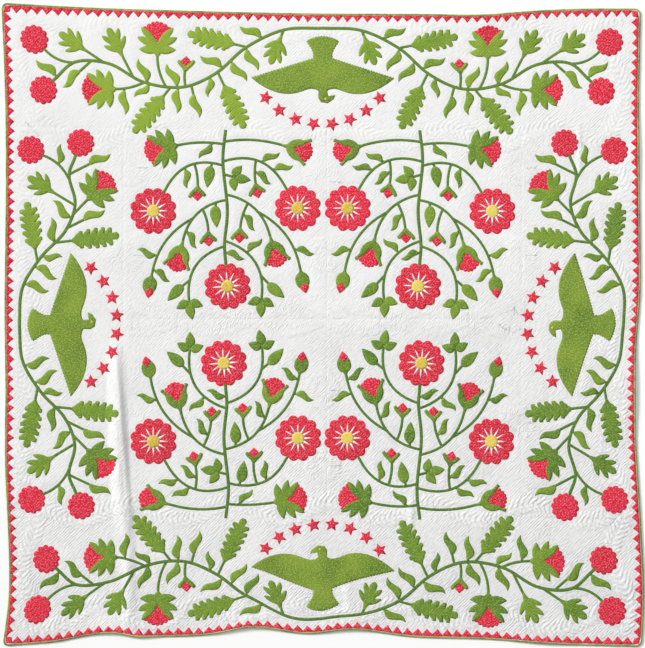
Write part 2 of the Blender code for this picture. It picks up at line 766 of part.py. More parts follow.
def find_middle():
    """The middle of the laid out quilt's box, so that the origin can lie under it."""
    steps = [k / 200 for k in range(-200, 201)]
    points = [lay(s * HALF_WIDTH, e) for s in steps for e in (-HALF_HEIGHT, HALF_HEIGHT)]
    points += [lay(e, s * HALF_HEIGHT) for s in steps for e in (-HALF_WIDTH, HALF_WIDTH)]
    xs, ys = [p[0] for p in points], [p[1] for p in points]
    return (min(xs) + max(xs)) / 2, (min(ys) + max(ys)) / 2


MIDDLE = (0.0, 0.0)
MIDDLE = find_middle()


def main():
    clear_scene()
    surface = BVHTree.FromBMesh(make_sheet())
    for side in ("top", "right", "bottom", "left"):
        make_binding(side)
        make_patch("teeth_" + side, teeth_outline(side), "red", surface)
    for seat in TREE_SEATS:
        make_plant("tree", seat, TREE_STEM, TREE, "rose", surface)
    for seat in LONG_SEATS:
        make_plant("vine", seat, LONG_STEM, LONG_VINE, "round flower", surface)
    for seat in SHORT_SEATS:
        make_plant("vine", seat, SHORT_STEM, SHORT_VINE, "round flower", surface)
    for seat in EAGLE_SEATS:
        make_patch("eagle_" + seat.name, placed(eagle_outline(), seat), "light_green", surface)


main()
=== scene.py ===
"""The looks of an applique bed quilt laid out flat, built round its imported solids.

The quilt's pieced top is a fine grid with its folds, puckers and quilted plumes. Thin patches of
cotton lie sewn on it: stems, leaves, flowers, eagles, stars and teeth. A binding runs round it.
Points are worked out on a nominal rectangle and then laid where the real quilt lies.
"""

import json
import math
from collections import namedtuple

import bpy
import numpy as np
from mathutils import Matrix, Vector, geometry, kdtree
from mathutils.bvhtree import BVHTree

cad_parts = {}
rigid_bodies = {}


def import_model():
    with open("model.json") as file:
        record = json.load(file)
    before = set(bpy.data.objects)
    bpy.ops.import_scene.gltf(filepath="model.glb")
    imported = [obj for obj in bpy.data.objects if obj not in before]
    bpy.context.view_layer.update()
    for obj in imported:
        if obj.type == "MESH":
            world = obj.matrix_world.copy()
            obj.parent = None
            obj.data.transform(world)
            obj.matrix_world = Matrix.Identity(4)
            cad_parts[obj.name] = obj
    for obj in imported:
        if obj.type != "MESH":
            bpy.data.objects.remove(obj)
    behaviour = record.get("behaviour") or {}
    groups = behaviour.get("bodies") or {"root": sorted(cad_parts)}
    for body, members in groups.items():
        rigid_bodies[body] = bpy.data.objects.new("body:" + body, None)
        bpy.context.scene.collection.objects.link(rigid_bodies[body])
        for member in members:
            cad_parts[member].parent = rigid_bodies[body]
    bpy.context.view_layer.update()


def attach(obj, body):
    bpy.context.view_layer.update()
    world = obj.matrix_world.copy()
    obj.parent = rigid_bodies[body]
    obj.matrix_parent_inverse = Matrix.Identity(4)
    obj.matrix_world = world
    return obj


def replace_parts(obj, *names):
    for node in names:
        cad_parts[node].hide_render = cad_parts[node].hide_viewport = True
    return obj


# The nominal quilt in metres, its binding and its teeth. Teeth are measured in from the edge.
HALF_WIDTH = 1.134
HALF_HEIGHT = 1.120
CORNER_RADIUS = 0.022
SHEET_THICKNESS = 0.004
BINDING_WIDTH = 0.0075
BINDING_HEIGHT = 0.0056
BINDING_STEP = 0.005
BINDING_FACETS = 10
BINDING_TURN = 1.22
TEETH_A_SIDE = 62
TOOTH_BASE = 0.0070
TOOTH_VALLEY = 0.0108
TOOTH_TIP = 0.0330
CORNER_TOOTH_TIP = 0.0284
TOOTH_VALLEY_SHARES = (0.85, 1.45)
TOOTH_TIP_SHARES = (0.88, 1.05)
TOOTH_MIDDLES = (0.42, 0.58)

# Borders and blocks: how far their middles lie from the quilt's middle.
BORDER_ACROSS = 0.915
BORDER_UP = 0.900
BLOCK_ACROSS = 0.347
BLOCK_UP = 0.352

# Stems and blooms. Side stems are narrower, and run in under their bloom.
STEM_WIDTH = 0.0115
SIDE_STEM_SHARE = 0.85
STEM_TO_FLOWER = 0.003
BLOOM_TUCK = 0.014
ROSE_RADIUS = 0.084
ROSE_PETALS = 12
FLOWER_RADIUS = 0.050
FLOWER_PETALS = 12
PETAL_VALLEY = 0.87

# The top's grid, and the seams between its four blocks and four borders.
TOP_CELL = 0.0041
BACKING_CELL = 0.03
BACKING_GAP = 0.0003
SEAM_ACROSS = 0.712
SEAM_TOP = 0.700
SEAM_BOTTOM = -0.688
SEAM_MIDDLE_X = 0.015
SEAM_MIDDLE_Y = 0.020

# Slow waves of the laid cloth: height, size and seed of their noise.
SLOW_WAVES = ((0.0008, 0.110, 1), (0.0005, 0.042, 2))

# A patch's mesh, and its heights above the top: its rim, its swell, its turned-under edge, and how
# far it is raised where it lies on others.
PATCH_CELL = 0.0065
PATCH_RIM = 0.0005
PATCH_SWELL = 0.0007
PATCH_SWELL_RUN = 0.011
PATCH_TUCK = 0.0004
BLOOM_RAISE = 0.0005
CUP_RAISE = 0.0007
RAY_RAISE = 0.0018
CENTRE_RAISE = 0.0021
STEM_CELL = 0.006
STEM_LEVEL_DROP = 0.00012

# How far the greens of a plant's leaves differ, and how much darker its stems are.
GREEN_SPREAD = 0.16
STEM_SHADE = 0.6

# The top's own relief: between the stitches, on the plumes and beside the seams.
TOP_SWELL = 0.0009
TOP_SWELL_RUN = 0.008
PLUME_SWELL = 0.0016
PLUME_RIM = 0.009
PLUME_FLOOR = 0.30
PLUME_SPINE = 0.10
PUCKER_HEIGHT = 0.0004
PUCKER_CELL = 0.016
PUCKER_SEED = 3
SINK_RUN = 0.003
SEAM_DEPTH = 0.0005
SEAM_RUN = 0.004

# A stem's section: shares of its half width, and heights.
STEM_SECTION = (
    (1.0, -PATCH_TUCK), (0.92, 0.0006), (0.45, 0.0011),
    (-0.45, 0.0011), (-0.92, 0.0006), (-1.0, -PATCH_TUCK),
)

# Lines of quilting: their pitch, and how far the one that echoes a patch's edge reaches.
LINE_PITCH = 0.0078
LINE_SLOPE = math.radians(44)
ECHO_REACH = 0.0074
DASH_LENGTH = 0.017
DASH_WIDTH = 0.007

# The quilting stands out most towards the lower right and least towards the upper left.
RELIEF_SLANT = 0.35
RELIEF_FROM = -1.5
RELIEF_TO = 1.5
RELIEF_MOST = 1.08
RELIEF_LEAST = 0.28

# The cottons' finish, their colours, and their noise: lumps a metre, octaves and roughness.
COTTON_FINISH = {
    "Roughness": 0.9,
    "Sheen Weight": 0.06,
    "Sheen Roughness": 0.6,
    "Specular IOR Level": 0.25,
}
GROUND = (0.860, 0.860, 0.850)
GROUND_STAINED = (0.80, 0.80, 0.795)
# Painted shade: the grey laid into the quilted ground's stitched lines and pucker hollows, and how much of
# it is laid in.
GROUND_PAINTED_SHADE = (0.52, 0.52, 0.53)
PAINTED_SHADE_SHARE = 0.26
BARBED_SHARE = 0.20
DYES = {
    "red": ((0.59, 0.003, 0.018), (0.69, 0.005, 0.028), (0.97, 0.235, 0.315)),
    "leaf": ((0.062, 0.160, 0.018), (0.255, 0.385, 0.030), (0.35, 0.47, 0.095)),
    "stem": ((0.042, 0.130, 0.016), (0.200, 0.320, 0.030), (0.22, 0.35, 0.07)),
    "eagle": ((0.082, 0.172, 0.015), (0.205, 0.312, 0.028), (0.38, 0.48, 0.105)),
    "binding": ((0.090, 0.180, 0.022), (0.290, 0.390, 0.060), (0.42, 0.49, 0.14)),
    "yellow": ((0.60, 0.40, 0.035), (0.77, 0.59, 0.100), (0.88, 0.76, 0.28)),
    "white": ((0.82, 0.80, 0.77), (0.86, 0.84, 0.81), (0.90, 0.89, 0.87)),
}
WEAVE_PITCH = 0.0009
WANDER = (22.0, 2.0)
WANDER_DEPTH = 0.9
CURVED_WANDER = 0.3
SHAKE = (85.0, 1.0)
SHAKE_DEPTH = 0.55
BROAD = (7.0, 3.0)
STAIN = (2.6, 4.0, 0.55)
GROUND_PUCKERS = (120.0, 2.0, 0.6)
GROUND_GRAIN = (260.0, 2.0, 0.6)
DYED_PUCKERS = (150.0, 3.0, 0.6)
DYED_GRAIN = (420.0, 3.0, 0.7)
BLOTCH = (190.0, 2.0, 0.6)

# How a dyed cotton drifts from dark to light: lumps a metre, and depth.
DRIFT = (26.0, 0.7)
EAGLE_DRIFT = (7.0, 2.6)

# A plant's pieces: each one's name, cotton and slot.
PLANT_PIECES = {
    "stem": ("stems", "stem", "green_cotton"),
    "leaf": ("leaves", "leaf", "green_cotton"),
    "red": ("heads", "red", "red_cotton"),
    "rose": ("roses", "red", "red_cotton"),
    "flower": ("flowers", "red", "red_cotton"),
    "white": ("rays", "white", "white_cotton"),
    "yellow": ("centres", "yellow", "yellow_cotton"),
}

# Starts the random draws of shades and teeth.
CHANCE_SEED = 11

Ridge = namedtuple("Ridge", "x_from y_from x_to y_to height half_width")
Ripple = namedtuple("Ripple", "side along height half_length")
Bend = namedtuple("Bend", "by_x by_y to_x to_y")
Sprig = namedtuple("Sprig", "name parent at end_x end_y bow tip")
Seat = namedtuple("Seat", "name x y turn mirror")
Plume = namedtuple("Plume", "points half_width barb")
Corner = namedtuple("Corner", "x y bulge", defaults=(0.0,))
Patch = namedtuple("Patch", "outline cloth raised")
Fan = namedtuple("Fan", "base shoulder_x shoulder_y top scallops")
Filler = namedtuple("Filler", "tip stalk clear every")
Room = namedtuple("Room", "x_low x_high y_low y_high")


def corners(*rows):
    """An outline's corners. A corner's bulge is that of the edge to it."""
    return tuple(Corner(*row) for row in rows)


# Along each edge: how far it lies outside the nominal rectangle.
TOP_EDGE = (
    (-1.14, 0.032), (-0.94, 0.020), (-0.69, 0.009), (-0.37, 0.000), (-0.08, -0.006), (0.38, -0.009),
    (0.58, -0.011), (0.74, 0.002), (0.88, 0.009), (1.14, 0.011),
)
BOTTOM_EDGE = (
    (-1.14, 0.030), (-0.97, 0.017), (-0.72, -0.014), (-0.67, -0.004), (-0.58, -0.004), (-0.40, -0.012),
    (-0.26, -0.038), (-0.05, -0.014), (0.10, -0.030), (0.30, -0.005), (0.60, 0.006), (0.82, 0.022),
    (1.14, 0.032),
)
LEFT_EDGE = (
    (-1.14, 0.014), (-0.97, -0.009), (-0.70, -0.008), (-0.50, 0.002), (-0.20, 0.001), (0.02, 0.004),
    (0.38, 0.000), (0.80, 0.002), (1.14, 0.016),
)
RIGHT_EDGE = (
    (-1.14, 0.006), (-0.97, 0.015), (-0.70, 0.004), (-0.36, -0.015), (-0.10, -0.014), (0.12, 0.002),
    (0.30, 0.002), (0.76, -0.003), (1.14, 0.004),
)

# The long soft fold left of the lower left block, and lesser creases.
RIDGES = (Ridge(-0.742, -0.06, -0.716, -0.78, 0.012, 0.042),)
CREASES = (
    Ridge(-0.740, -0.05, -0.686, -0.74, 0.0034, 0.015),
    Ridge(-0.704, -0.60, -0.690, -1.12, 0.0055, 0.034),
    Ridge(0.315, -0.60, 0.318, -0.76, 0.0024, 0.016),
    Ridge(0.922, 0.50, 0.916, 0.72, 0.0022, 0.018),
    Ridge(-0.300, -0.86, -0.255, -1.11, 0.0028, 0.034),
    Ridge(0.080, -0.88, 0.105, -1.11, 0.0024, 0.030),
    Ridge(0.560, 0.92, 0.585, 1.11, 0.0022, 0.030),
    Ridge(0.90, -0.16, 1.12, -0.25, 0.0024, 0.034),
    Ridge(-0.98, -0.56, -1.12, -0.62, 0.0020, 0.030),
)
RIDGE_FADE = 0.6
RIPPLES = (
    Ripple("bottom", -0.71, 0.006, 0.17),
    Ripple("bottom", -0.26, 0.008, 0.19),
    Ripple("bottom", 0.10, 0.006, 0.16),
    Ripple("bottom", 0.78, 0.004, 0.16),
    Ripple("top", 0.58, 0.005, 0.18),
    Ripple("top", -0.55, 0.003, 0.18),
    Ripple("right", -0.23, 0.006, 0.22),
    Ripple("right", 0.62, 0.003, 0.18),
    Ripple("left", -0.62, 0.005, 0.18),
    Ripple("left", 0.30, 0.003, 0.18),
)
RIPPLE_REACH = 0.104

# A rose tree, from its root at the block's edge. Sprigs start part way along their parent.
TREE_STEM = ((0.000, -0.345), (0.010, -0.230), (-0.006, -0.060), (0.004, 0.060), (0.000, 0.128))
TREE = (
    Sprig("low left", "stem", 0.09, -0.205, -0.290, 0.12, "tulip"),
    Sprig("low right", "stem", 0.11, 0.175, -0.288, -0.10, "carnation"),
    Sprig("left", "stem", 0.24, -0.214, -0.140, 0.42, "rose"),
    Sprig("right", "stem", 0.27, 0.216, -0.130, -0.42, "rose"),
    Sprig("upper left", "stem", 0.49, -0.160, 0.040, 0.32, "tulip"),
    Sprig("upper right", "stem", 0.53, 0.154, 0.056, -0.34, "tulip"),
    Sprig("arch left", "stem", 0.84, -0.128, 0.262, 0.42, "trefoil"),
    Sprig("arch right", "stem", 0.88, 0.130, 0.270, -0.42, "trefoil"),
    Sprig("corner left", "upper left", 0.56, -0.268, 0.160, 0.25, "closed bud"),
    Sprig("corner right", "upper right", 0.60, 0.264, 0.176, -0.25, "closed bud"),
    Sprig("bud left", "left", 0.45, -0.108, -0.150, -0.10, "bud"),
    Sprig("bud right", "right", 0.42, 0.100, -0.140, 0.10, "bud"),
    Sprig("inner bud left", "upper left", 0.36, -0.052, 0.010, -0.12, "bud"),
    Sprig("inner bud right", "upper right", 0.40, 0.062, 0.022, 0.12, "bud"),
    Sprig("leaf 1", "arch left", 0.68, -0.152, 0.204, 0.0, "leaf"),
    Sprig("leaf 2", "arch right", 0.70, 0.152, 0.212, 0.0, "leaf"),
)

# Half a long border vine, from the eagle out to the corner. Y runs towards the quilt's middle.
LONG_STEM = (
    (0.0004, -0.166), (0.140, -0.158), (0.275, -0.092), (0.380, 0.000), (0.500, 0.052), (0.640, 0.036),
    (0.760, -0.026), (0.880, -0.030), (0.958, 0.034),
)
LONG_VINE = (
    Sprig("oak 1", "stem", 0.27, 0.318, -0.104, 0.0, "oak leaf"),
    Sprig("oak 2", "stem", 0.40, 0.352, 0.046, 0.0, "oak leaf"),
    Sprig("bud 1", "stem", 0.52, 0.492, -0.008, 0.08, "bud"),
    Sprig("leaf 1", "stem", 0.50, 0.462, 0.078, 0.0, "s leaf"),
    Sprig("oak 3", "stem", 0.57, 0.570, 0.086, 0.0, "oak leaf"),
    Sprig("carnation 1", "stem", 0.585, 0.590, -0.060, 0.15, "carnation"),
    Sprig("lobed 1", "stem", 0.70, 0.712, -0.050, 0.0, "lobed leaf"),
    Sprig("carnation 2", "stem", 0.66, 0.742, 0.062, 0.12, "carnation"),
    Sprig("lobed 2", "stem", 0.81, 0.840, -0.068, 0.0, "lobed leaf"),
    Sprig("leaf 2", "stem", 0.85, 0.866, 0.002, 0.0, "s leaf"),
    Sprig("flower", "stem", 0.91, 0.985, -0.066, 0.22, "round flower"),
)

# Half a short border vine, for the two sides.
SHORT_STEM = (
    (0.0004, -0.166), (0.130, -0.156), (0.240, -0.092), (0.330, -0.008), (0.430, 0.030), (0.530, 0.008),
    (0.598, 0.030),
)
SHORT_VINE = (
    Sprig("oak 1", "stem", 0.36, 0.272, -0.112, 0.0, "oak leaf"),
    Sprig("oak 2", "stem", 0.50, 0.300, 0.020, 0.0, "oak leaf"),
    Sprig("carnation", "stem", 0.68, 0.448, 0.076, 0.0, "carnation"),
    Sprig("lobed", "stem", 0.73, 0.468, -0.042, 0.0, "lobed leaf"),
    Sprig("leaf 1", "stem", 0.60, 0.374, 0.060, 0.0, "s leaf"),
    Sprig("leaf 2", "stem", 0.90, 0.572, 0.080, 0.0, "s leaf"),
    Sprig("flower", "stem", 0.86, 0.600, -0.080, 0.22, "round flower"),
)

LONG_SEATS = (
    Seat("top_right", 0.0, BORDER_UP, math.pi, True),
    Seat("top_left", 0.0, BORDER_UP, math.pi, False),
    Seat("bottom_right", 0.0, -BORDER_UP, 0.0, False),
    Seat("bottom_left", 0.0, -BORDER_UP, 0.0, True),
)
SHORT_SEATS = (
    Seat("right_upper", BORDER_ACROSS, 0.0, math.pi / 2, False),
    Seat("right_lower", BORDER_ACROSS, 0.0, math.pi / 2, True),
    Seat("left_upper", -BORDER_ACROSS, 0.0, -math.pi / 2, True),
    Seat("left_lower", -BORDER_ACROSS, 0.0, -math.pi / 2, False),
)
TREE_SEATS = (
    Seat("upper_left", -BLOCK_ACROSS, BLOCK_UP, math.pi, False),
    Seat("upper_right", BLOCK_ACROSS, BLOCK_UP, math.pi, True),
    Seat("lower_left", -BLOCK_ACROSS, -BLOCK_UP, 0.0, False),
    Seat("lower_right", BLOCK_ACROSS, -BLOCK_UP, 0.0, True),
)
TREE_SHADES = (0.38, 0.40, 0.28, 0.26)
LONG_SHADES = (0.62, 0.86, 0.33, 0.36)
SHORT_SHADES = (0.42, 0.30, 0.58, 0.42)
EAGLE_SEATS = (
    Seat("top", 0.0, BORDER_UP, math.pi, False),
    Seat("bottom", 0.0, -BORDER_UP, 0.0, False),
    Seat("right", BORDER_ACROSS, 0.0, math.pi / 2, False),
    Seat("left", -BORDER_ACROSS, 0.0, -math.pi / 2, False),
)

# Leaves: length, width and, on the lobed ones, lobes a side.
LEAF = (0.080, 0.040)
LEAF_HOOK = 0.10
S_LEAF = (0.088, 0.031)
SMALL_S_LEAF = (0.070, 0.026)
S_LEAF_CURL = 0.085
TREFOIL_LEAF = (0.050, 0.033)
TREFOIL_TOP_LEAF = (0.056, 0.035)
TREFOIL_SPREAD = 1.25
TREFOIL_STALK = 0.011
OAK_LEAF = (0.168, 0.074)
OAK_LOBES = 5
LOBED_LEAF = corners(
    (-0.003, 0.004), (0.024, 0.011, -0.04), (0.060, 0.043, 0.09), (0.065, 0.038, 0.30),
    (0.054, 0.020, 0.05), (0.066, 0.024, -0.04), (0.094, 0.034, 0.10), (0.098, 0.029, 0.30),
    (0.082, 0.011, 0.04), (0.094, 0.013, 0.10), (0.115, 0.000, 0.18),
)

# Half outlines of the flowers' green cups, from the stalk round to the middle line. A bud is uneven.
TULIP_CUP = corners(
    (-0.004, 0.004), (0.014, 0.008, -0.04), (0.034, 0.031, 0.08), (0.064, 0.038, 0.10),
    (0.087, 0.051, -0.08), (0.096, 0.040, 0.22), (0.068, 0.020, -0.10), (0.048, 0.012, 0.06),
    (0.038, 0.000, 0.14),
)
CARNATION_CUP = corners(
    (-0.004, 0.004), (0.006, 0.012, 0.05), (0.020, 0.066, 0.13), (0.035, 0.037, 0.03),
    (0.064, 0.071, 0.13), (0.064, 0.040, 0.03), (0.098, 0.057, 0.12), (0.080, 0.025, 0.06),
    (0.042, 0.000, 0.04),
)
CLOSED_CUP = corners(
    (-0.004, 0.004), (0.006, 0.009, -0.04), (0.034, 0.025, 0.16), (0.062, 0.012, 0.14),
    (0.066, 0.000, 0.10),
)
CLOSED_HEAD = corners(
    (0.042, 0.003), (0.060, 0.019, 0.03), (0.082, 0.003, 0.03), (0.062, -0.014, 0.03),
)
BUD_CUP = corners(
    (-0.004, 0.004), (0.006, 0.011, 0.06), (0.026, 0.031, 0.05), (0.034, 0.022, 0.22),
    (0.014, 0.000, -0.03), (0.041, -0.024, -0.03), (0.033, -0.033, 0.18), (0.007, -0.013, 0.06),
    (-0.004, -0.004, 0.06),
)
BUD_HEAD = corners(
    (0.011, 0.000), (0.030, 0.0195, 0.02), (0.051, 0.001, 0.02), (0.032, -0.020, 0.02),
)

# The red heads: where a fan starts, its shoulder, its rim and its scallops.
TULIP_FAN = Fan(0.030, 0.086, 0.036, 0.114, 6)
CARNATION_FAN = Fan(0.034, 0.088, 0.052, 0.124, 7)

# What grows in the bare places between the main sprigs, tried in this order.
VINE_FILLERS = (
    Filler("oak leaf", 0.022, 0.007, 0.060),
    Filler("lobed leaf", 0.020, 0.007, 0.050),
    Filler("s leaf", 0.008, 0.007, 0.036),
    Filler("bud", 0.034, 0.009, 0.170),
    Filler("small s leaf", 0.007, 0.006, 0.032),
)
TREE_FILLERS = (
    Filler("trefoil", 0.034, 0.009, 0.060),
    Filler("leaf", 0.012, 0.008, 0.050),
    Filler("small s leaf", 0.008, 0.008, 0.050),
)
FILLER_TURNS = (0.95, 1.20, 0.75, 1.45)
FILLER_FROM = 0.04
FILLER_TO_END = 0.012
FILLER_NEAR = 0.20
LEAST_PARENT = 0.07
SPACING = 0.004
EDGE_STEP = 0.003
LONG_ROOM = Room(0.10, 1.050, -0.170, 0.180)
SHORT_ROOM = Room(0.10, 0.670, -0.170, 0.185)
TREE_ROOM = Room(-0.322, 0.322, -0.310, 0.315)

# Rose centres: white rays of a cut-out star, and a yellow round.
RAY_FROM = 0.019
RAY_TO = 0.052
RAY_HALF_WIDTH = 0.0037
CENTRE_RADIUS = 0.0225

# Stars, and the arc that they stand in.
STAR_RADIUS = 0.0275
STAR_INNER = 0.47
STARS = 8
STAR_ARC_RADIUS = 0.266
STAR_ARC_MIDDLE_Y = -0.084
STAR_ARC_FROM = math.radians(40)
STAR_ARC_TO = math.radians(140)
STAR_TILT = 0.12
STAR_TILT_STEP = 2.1

# Half an eagle seen from the front, from the side of its neck to the root of its tail.
EAGLE_WING = (Bend(0.036, 0.046, 0.070, 0.062), Bend(0.160, 0.098, 0.256, 0.016))
EAGLE_WING_BACK = (Bend(0.150, -0.018, 0.034, -0.056),)
EAGLE_TAIL_ROOT = (0.034, -0.060)
EAGLE_TAIL = (Bend(0.026, -0.078, 0.058, -0.118), Bend(0.034, -0.134, 0.000, -0.136))
EAGLE_HEAD = (
    (-0.016, 0.062), (-0.020, 0.080), (-0.046, 0.076), (-0.038, 0.092), (-0.018, 0.106), (0.006, 0.102),
    (0.016, 0.086), (0.015, 0.062),
)
EAGLE_EYE = (-0.010, 0.091, 0.0042)
SERRATION = 0.0032
FEATHER_TOOTH = 0.0100
FEATHER_PITCH = 0.0090

# Quilted plumes: a cable across the middle, rounds between the blocks and running plumes in the borders.
CABLE_LENGTH = 0.69
CABLE_Y = 0.017
CABLE_WAVE = 0.040
CABLE_PERIOD = 0.520
CABLE_HALF_WIDTH = 0.026
CABLE_BARB = 0.0090
ROUND_RADIUS = 0.046
ROUND_HALF_WIDTH = 0.024
ROUND_BARB = 0.0110
ROUNDS = (
    (0.000, 0.510), (0.000, 0.250), (0.000, -0.235), (0.000, -0.505), (-0.692, 0.560), (-0.700, 0.250),
    (-0.700, -0.350), (0.700, 0.560), (0.700, 0.250), (0.700, 0.010), (0.700, -0.350),
)
PLUME_LENGTH = 1.05
PLUME_HALF_WIDTH = 0.034
PLUME_BARB = 0.0190
PLUME_WAVE = 0.030
PLUME_PERIOD = 0.360
PLUME_ROWS_UP = (0.676, -0.668, 1.040, -1.040)
PLUME_ROWS_ACROSS = (1.055, -1.055)
PLUME_STEP = 0.004
PLUME_LEAN = 0.45
PLUME_SWEEP = 14.0

# Photo scale: the camera frames what the photograph shows.
PHOTO_WIDTH = 645
PHOTO_HEIGHT = 648
METRES_A_PIXEL = 0.003577
PHOTO_MIDDLE = (322.75, 324.75)
LENS = 85.0
SENSOR = 36.0

# Light: the room's own, a broad key from the upper left and a weak light above the top edge.
ROOM_LIGHT = 0.40
KEY_LIGHT = 3.2
KEY_SPREAD = math.radians(14)
KEY_FROM = (-5.0, 3.2, 3.0)
TOP_LIGHT = 62
TOP_LIGHT_FROM = (0.0, 2.1, 4.7)
TOP_LIGHT_SIZE = 2.6

FLOOR_REACH = 6.0
FLOOR_DROP = 0.0005
FLOOR_COLOUR = (0.96, 0.96, 0.96)
FLOOR_ROUGHNESS = 0.95


def along_table(table, at):
    """A smooth curve through an edge table's rows."""
    places, values = np.array(table).T
    slopes = np.gradient(values, places)
    i = np.clip(np.searchsorted(places, at) - 1, 0, len(places) - 2)
    step = places[i + 1] - places[i]
    t = (at - places[i]) / step
    start = values[i] * (1 + 2 * t) * (1 - t) ** 2 + slopes[i] * step * t * (1 - t) ** 2
    end = values[i + 1] * t * t * (3 - 2 * t) + slopes[i + 1] * step * t * t * (t - 1)
    return start + end


def round_corners(points):
    """Turns the nominal rectangle's square corners into quarter circles, keeping depths from the edge."""
    inner = np.array((HALF_WIDTH, HALF_HEIGHT)) - CORNER_RADIUS
    reach = np.abs(points) - inner
    corner = (reach > 0).all(axis=1)
    a, b = reach[corner].T
    near, far = np.minimum(a, b), np.maximum(a, b)
    angle = math.pi / 4 * near / far
    angle = np.where(a >= b, angle, math.pi / 2 - angle)
    rounded = inner + far[:, None] * np.column_stack((np.cos(angle), np.sin(angle)))
    moved = points.copy()
    moved[corner] = np.copysign(rounded, points[corner])
    return moved


def lay(points):
    """Takes points of the nominal quilt to where they lie on the surface."""
    points = np.asarray(points, float)
    x, y = points.T
    right = np.maximum(0.0, x / HALF_WIDTH) ** 3
    left = np.maximum(0.0, -x / HALF_WIDTH) ** 3
    top = np.maximum(0.0, y / HALF_HEIGHT) ** 3
    bottom = np.maximum(0.0, -y / HALF_HEIGHT) ** 3
    flat = round_corners(points)
    flat[:, 0] += right * along_table(RIGHT_EDGE, y) - left * along_table(LEFT_EDGE, y)
    flat[:, 1] += top * along_table(TOP_EDGE, x) - bottom * along_table(BOTTOM_EDGE, x)
    return flat - MIDDLE


def find_middle():
    """The middle of the laid out quilt's box, so that the origin can lie under it."""
    steps = np.arange(-200, 201) / 200
    full = np.ones_like(steps)
    sides = [(steps, full), (steps, -full), (full, steps), (-full, steps)]
    rim = np.concatenate([np.column_stack((a * HALF_WIDTH, b * HALF_HEIGHT)) for a, b in sides])
    laid = lay(rim)
    return (laid.min(axis=0) + laid.max(axis=0)) / 2


MIDDLE = np.zeros(2)
MIDDLE = find_middle()


def ridge_lift(ridge, points):
    """Height of a long soft fold, fading at both ends."""
    run = np.array((ridge.x_to - ridge.x_from, ridge.y_to - ridge.y_from))
    offset = points - (ridge.x_from, ridge.y_from)
    share = np.clip(offset @ run / (run @ run), 0, 1)
    across = np.abs(run[0] * offset[:, 1] - run[1] * offset[:, 0]) / np.linalg.norm(run)
    profile = 0.5 + 0.5 * np.cos(math.pi * np.minimum(1, across / ridge.half_width))
    return ridge.height * profile * np.maximum(0, np.sin(math.pi * share)) ** RIDGE_FADE


def ripple_lift(ripple, points):
    """Height of a place where the hem stands off the surface."""
    x, y = points.T
    depth = {
        "top": HALF_HEIGHT - y,
        "bottom": HALF_HEIGHT + y,
        "right": HALF_WIDTH - x,
        "left": HALF_WIDTH + x,
    }[ripple.side]
    along = x if ripple.side in ("top", "bottom") else y
    apart = np.minimum(1, np.abs(along - ripple.along) / ripple.half_length)
    inwards = np.clip(1 - depth / RIPPLE_REACH, 0, 1)
    return ripple.height * (0.5 + 0.5 * np.cos(math.pi * apart)) * inwards ** 2


def noise(points, cell, seed):
    """Smooth noise between -1 and 1, with lumps about a cell across."""
    count = int(3.0 / cell) + 4
    lattice = np.random.default_rng(seed).uniform(-1, 1, (count, count))
    places = points / cell + count / 2
    whole = np.floor(places).astype(int)
    t = places - whole
    t = t * t * (3 - 2 * t)
    i, j = whole.T
    low = lattice[i, j] * (1 - t[:, 0]) + lattice[i + 1, j] * t[:, 0]
    high = lattice[i, j + 1] * (1 - t[:, 0]) + lattice[i + 1, j + 1] * t[:, 0]
    return low * (1 - t[:, 1]) + high * t[:, 1]


def lift(points):
    """How far the underside stands off the surface at points of the nominal quilt."""
    folds = sum(ridge_lift(ridge, points) for ridge in RIDGES)
    return folds + sum(ripple_lift(ripple, points) for ripple in RIPPLES)


def seam_distance(points):
    """How far each point lies from the nearest seam of the pieced top."""
    x, y = points.T
    inside = (y < SEAM_TOP) & (y > SEAM_BOTTOM)
    middle = inside & (np.abs(x) < SEAM_ACROSS)
    near = np.minimum(np.abs(y - SEAM_TOP), np.abs(y - SEAM_BOTTOM))
    near = np.where(inside, np.minimum(near, np.abs(np.abs(x) - SEAM_ACROSS)), near)
    cross = np.minimum(np.abs(x - SEAM_MIDDLE_X), np.abs(y - SEAM_MIDDLE_Y))
    return np.where(middle, np.minimum(near, cross), near)


def cloth_height(points):
    """Height of the top's cloth with folds, creases and puckers, before its quilting."""
    height = SHEET_THICKNESS + lift(points)
    height += sum(ridge_lift(crease, points) for crease in CREASES)
    height += sum(depth * noise(points, cell, seed) for depth, cell, seed in SLOW_WAVES)
    return height - SEAM_DEPTH * np.exp(-((seam_distance(points) / SEAM_RUN) ** 2))


def bent_path(start, bends, steps):
    """Points from a start through quadratic bends."""
    points = [start]
    for bend in bends:
        x0, y0 = points[-1]
        for k in range(1, steps + 1):
            t = k / steps
            a, b, c = (1 - t) ** 2, 2 * t * (1 - t), t * t
            points.append((a * x0 + b * bend.by_x + c * bend.to_x, a * y0 + b * bend.by_y + c * bend.to_y))
    return points


def turned(points, angle):
    c, s = math.cos(angle), math.sin(angle)
    return [(c * x - s * y, s * x + c * y) for x, y in points]


def moved(points, x, y):
    return [(px + x, py + y) for px, py in points]


def placed(points, seat):
    """Takes points of a border's or block's own frame to the nominal quilt."""
    sign = -1 if seat.mirror else 1
    return moved(turned([(sign * x, y) for x, y in points], seat.turn), seat.x, seat.y)


def arc(start, end, bulge, steps):
    """Points of an arc from its start, without its end. It swells to the left by a share of its chord."""
    (x0, y0), (x1, y1) = start, end
    points = []
    for k in range(steps):
        t = k / steps
        swell = bulge * (4 * t * (1 - t)) ** 0.8
        points.append((x0 + (x1 - x0) * t - (y1 - y0) * swell, y0 + (y1 - y0) * t + (x1 - x0) * swell))
    return points


def through(knots, steps):
    """A line from corner to corner, without its last one. Only edges that bulge get points between."""
    line = []
    for a, b in zip(knots, knots[1:]):
        line += arc((a.x, a.y), (b.x, b.y), b.bulge, steps if b.bulge else 1)
    return line


def closed_outline(knots, steps=5):
    return through([*knots, knots[0]], steps)


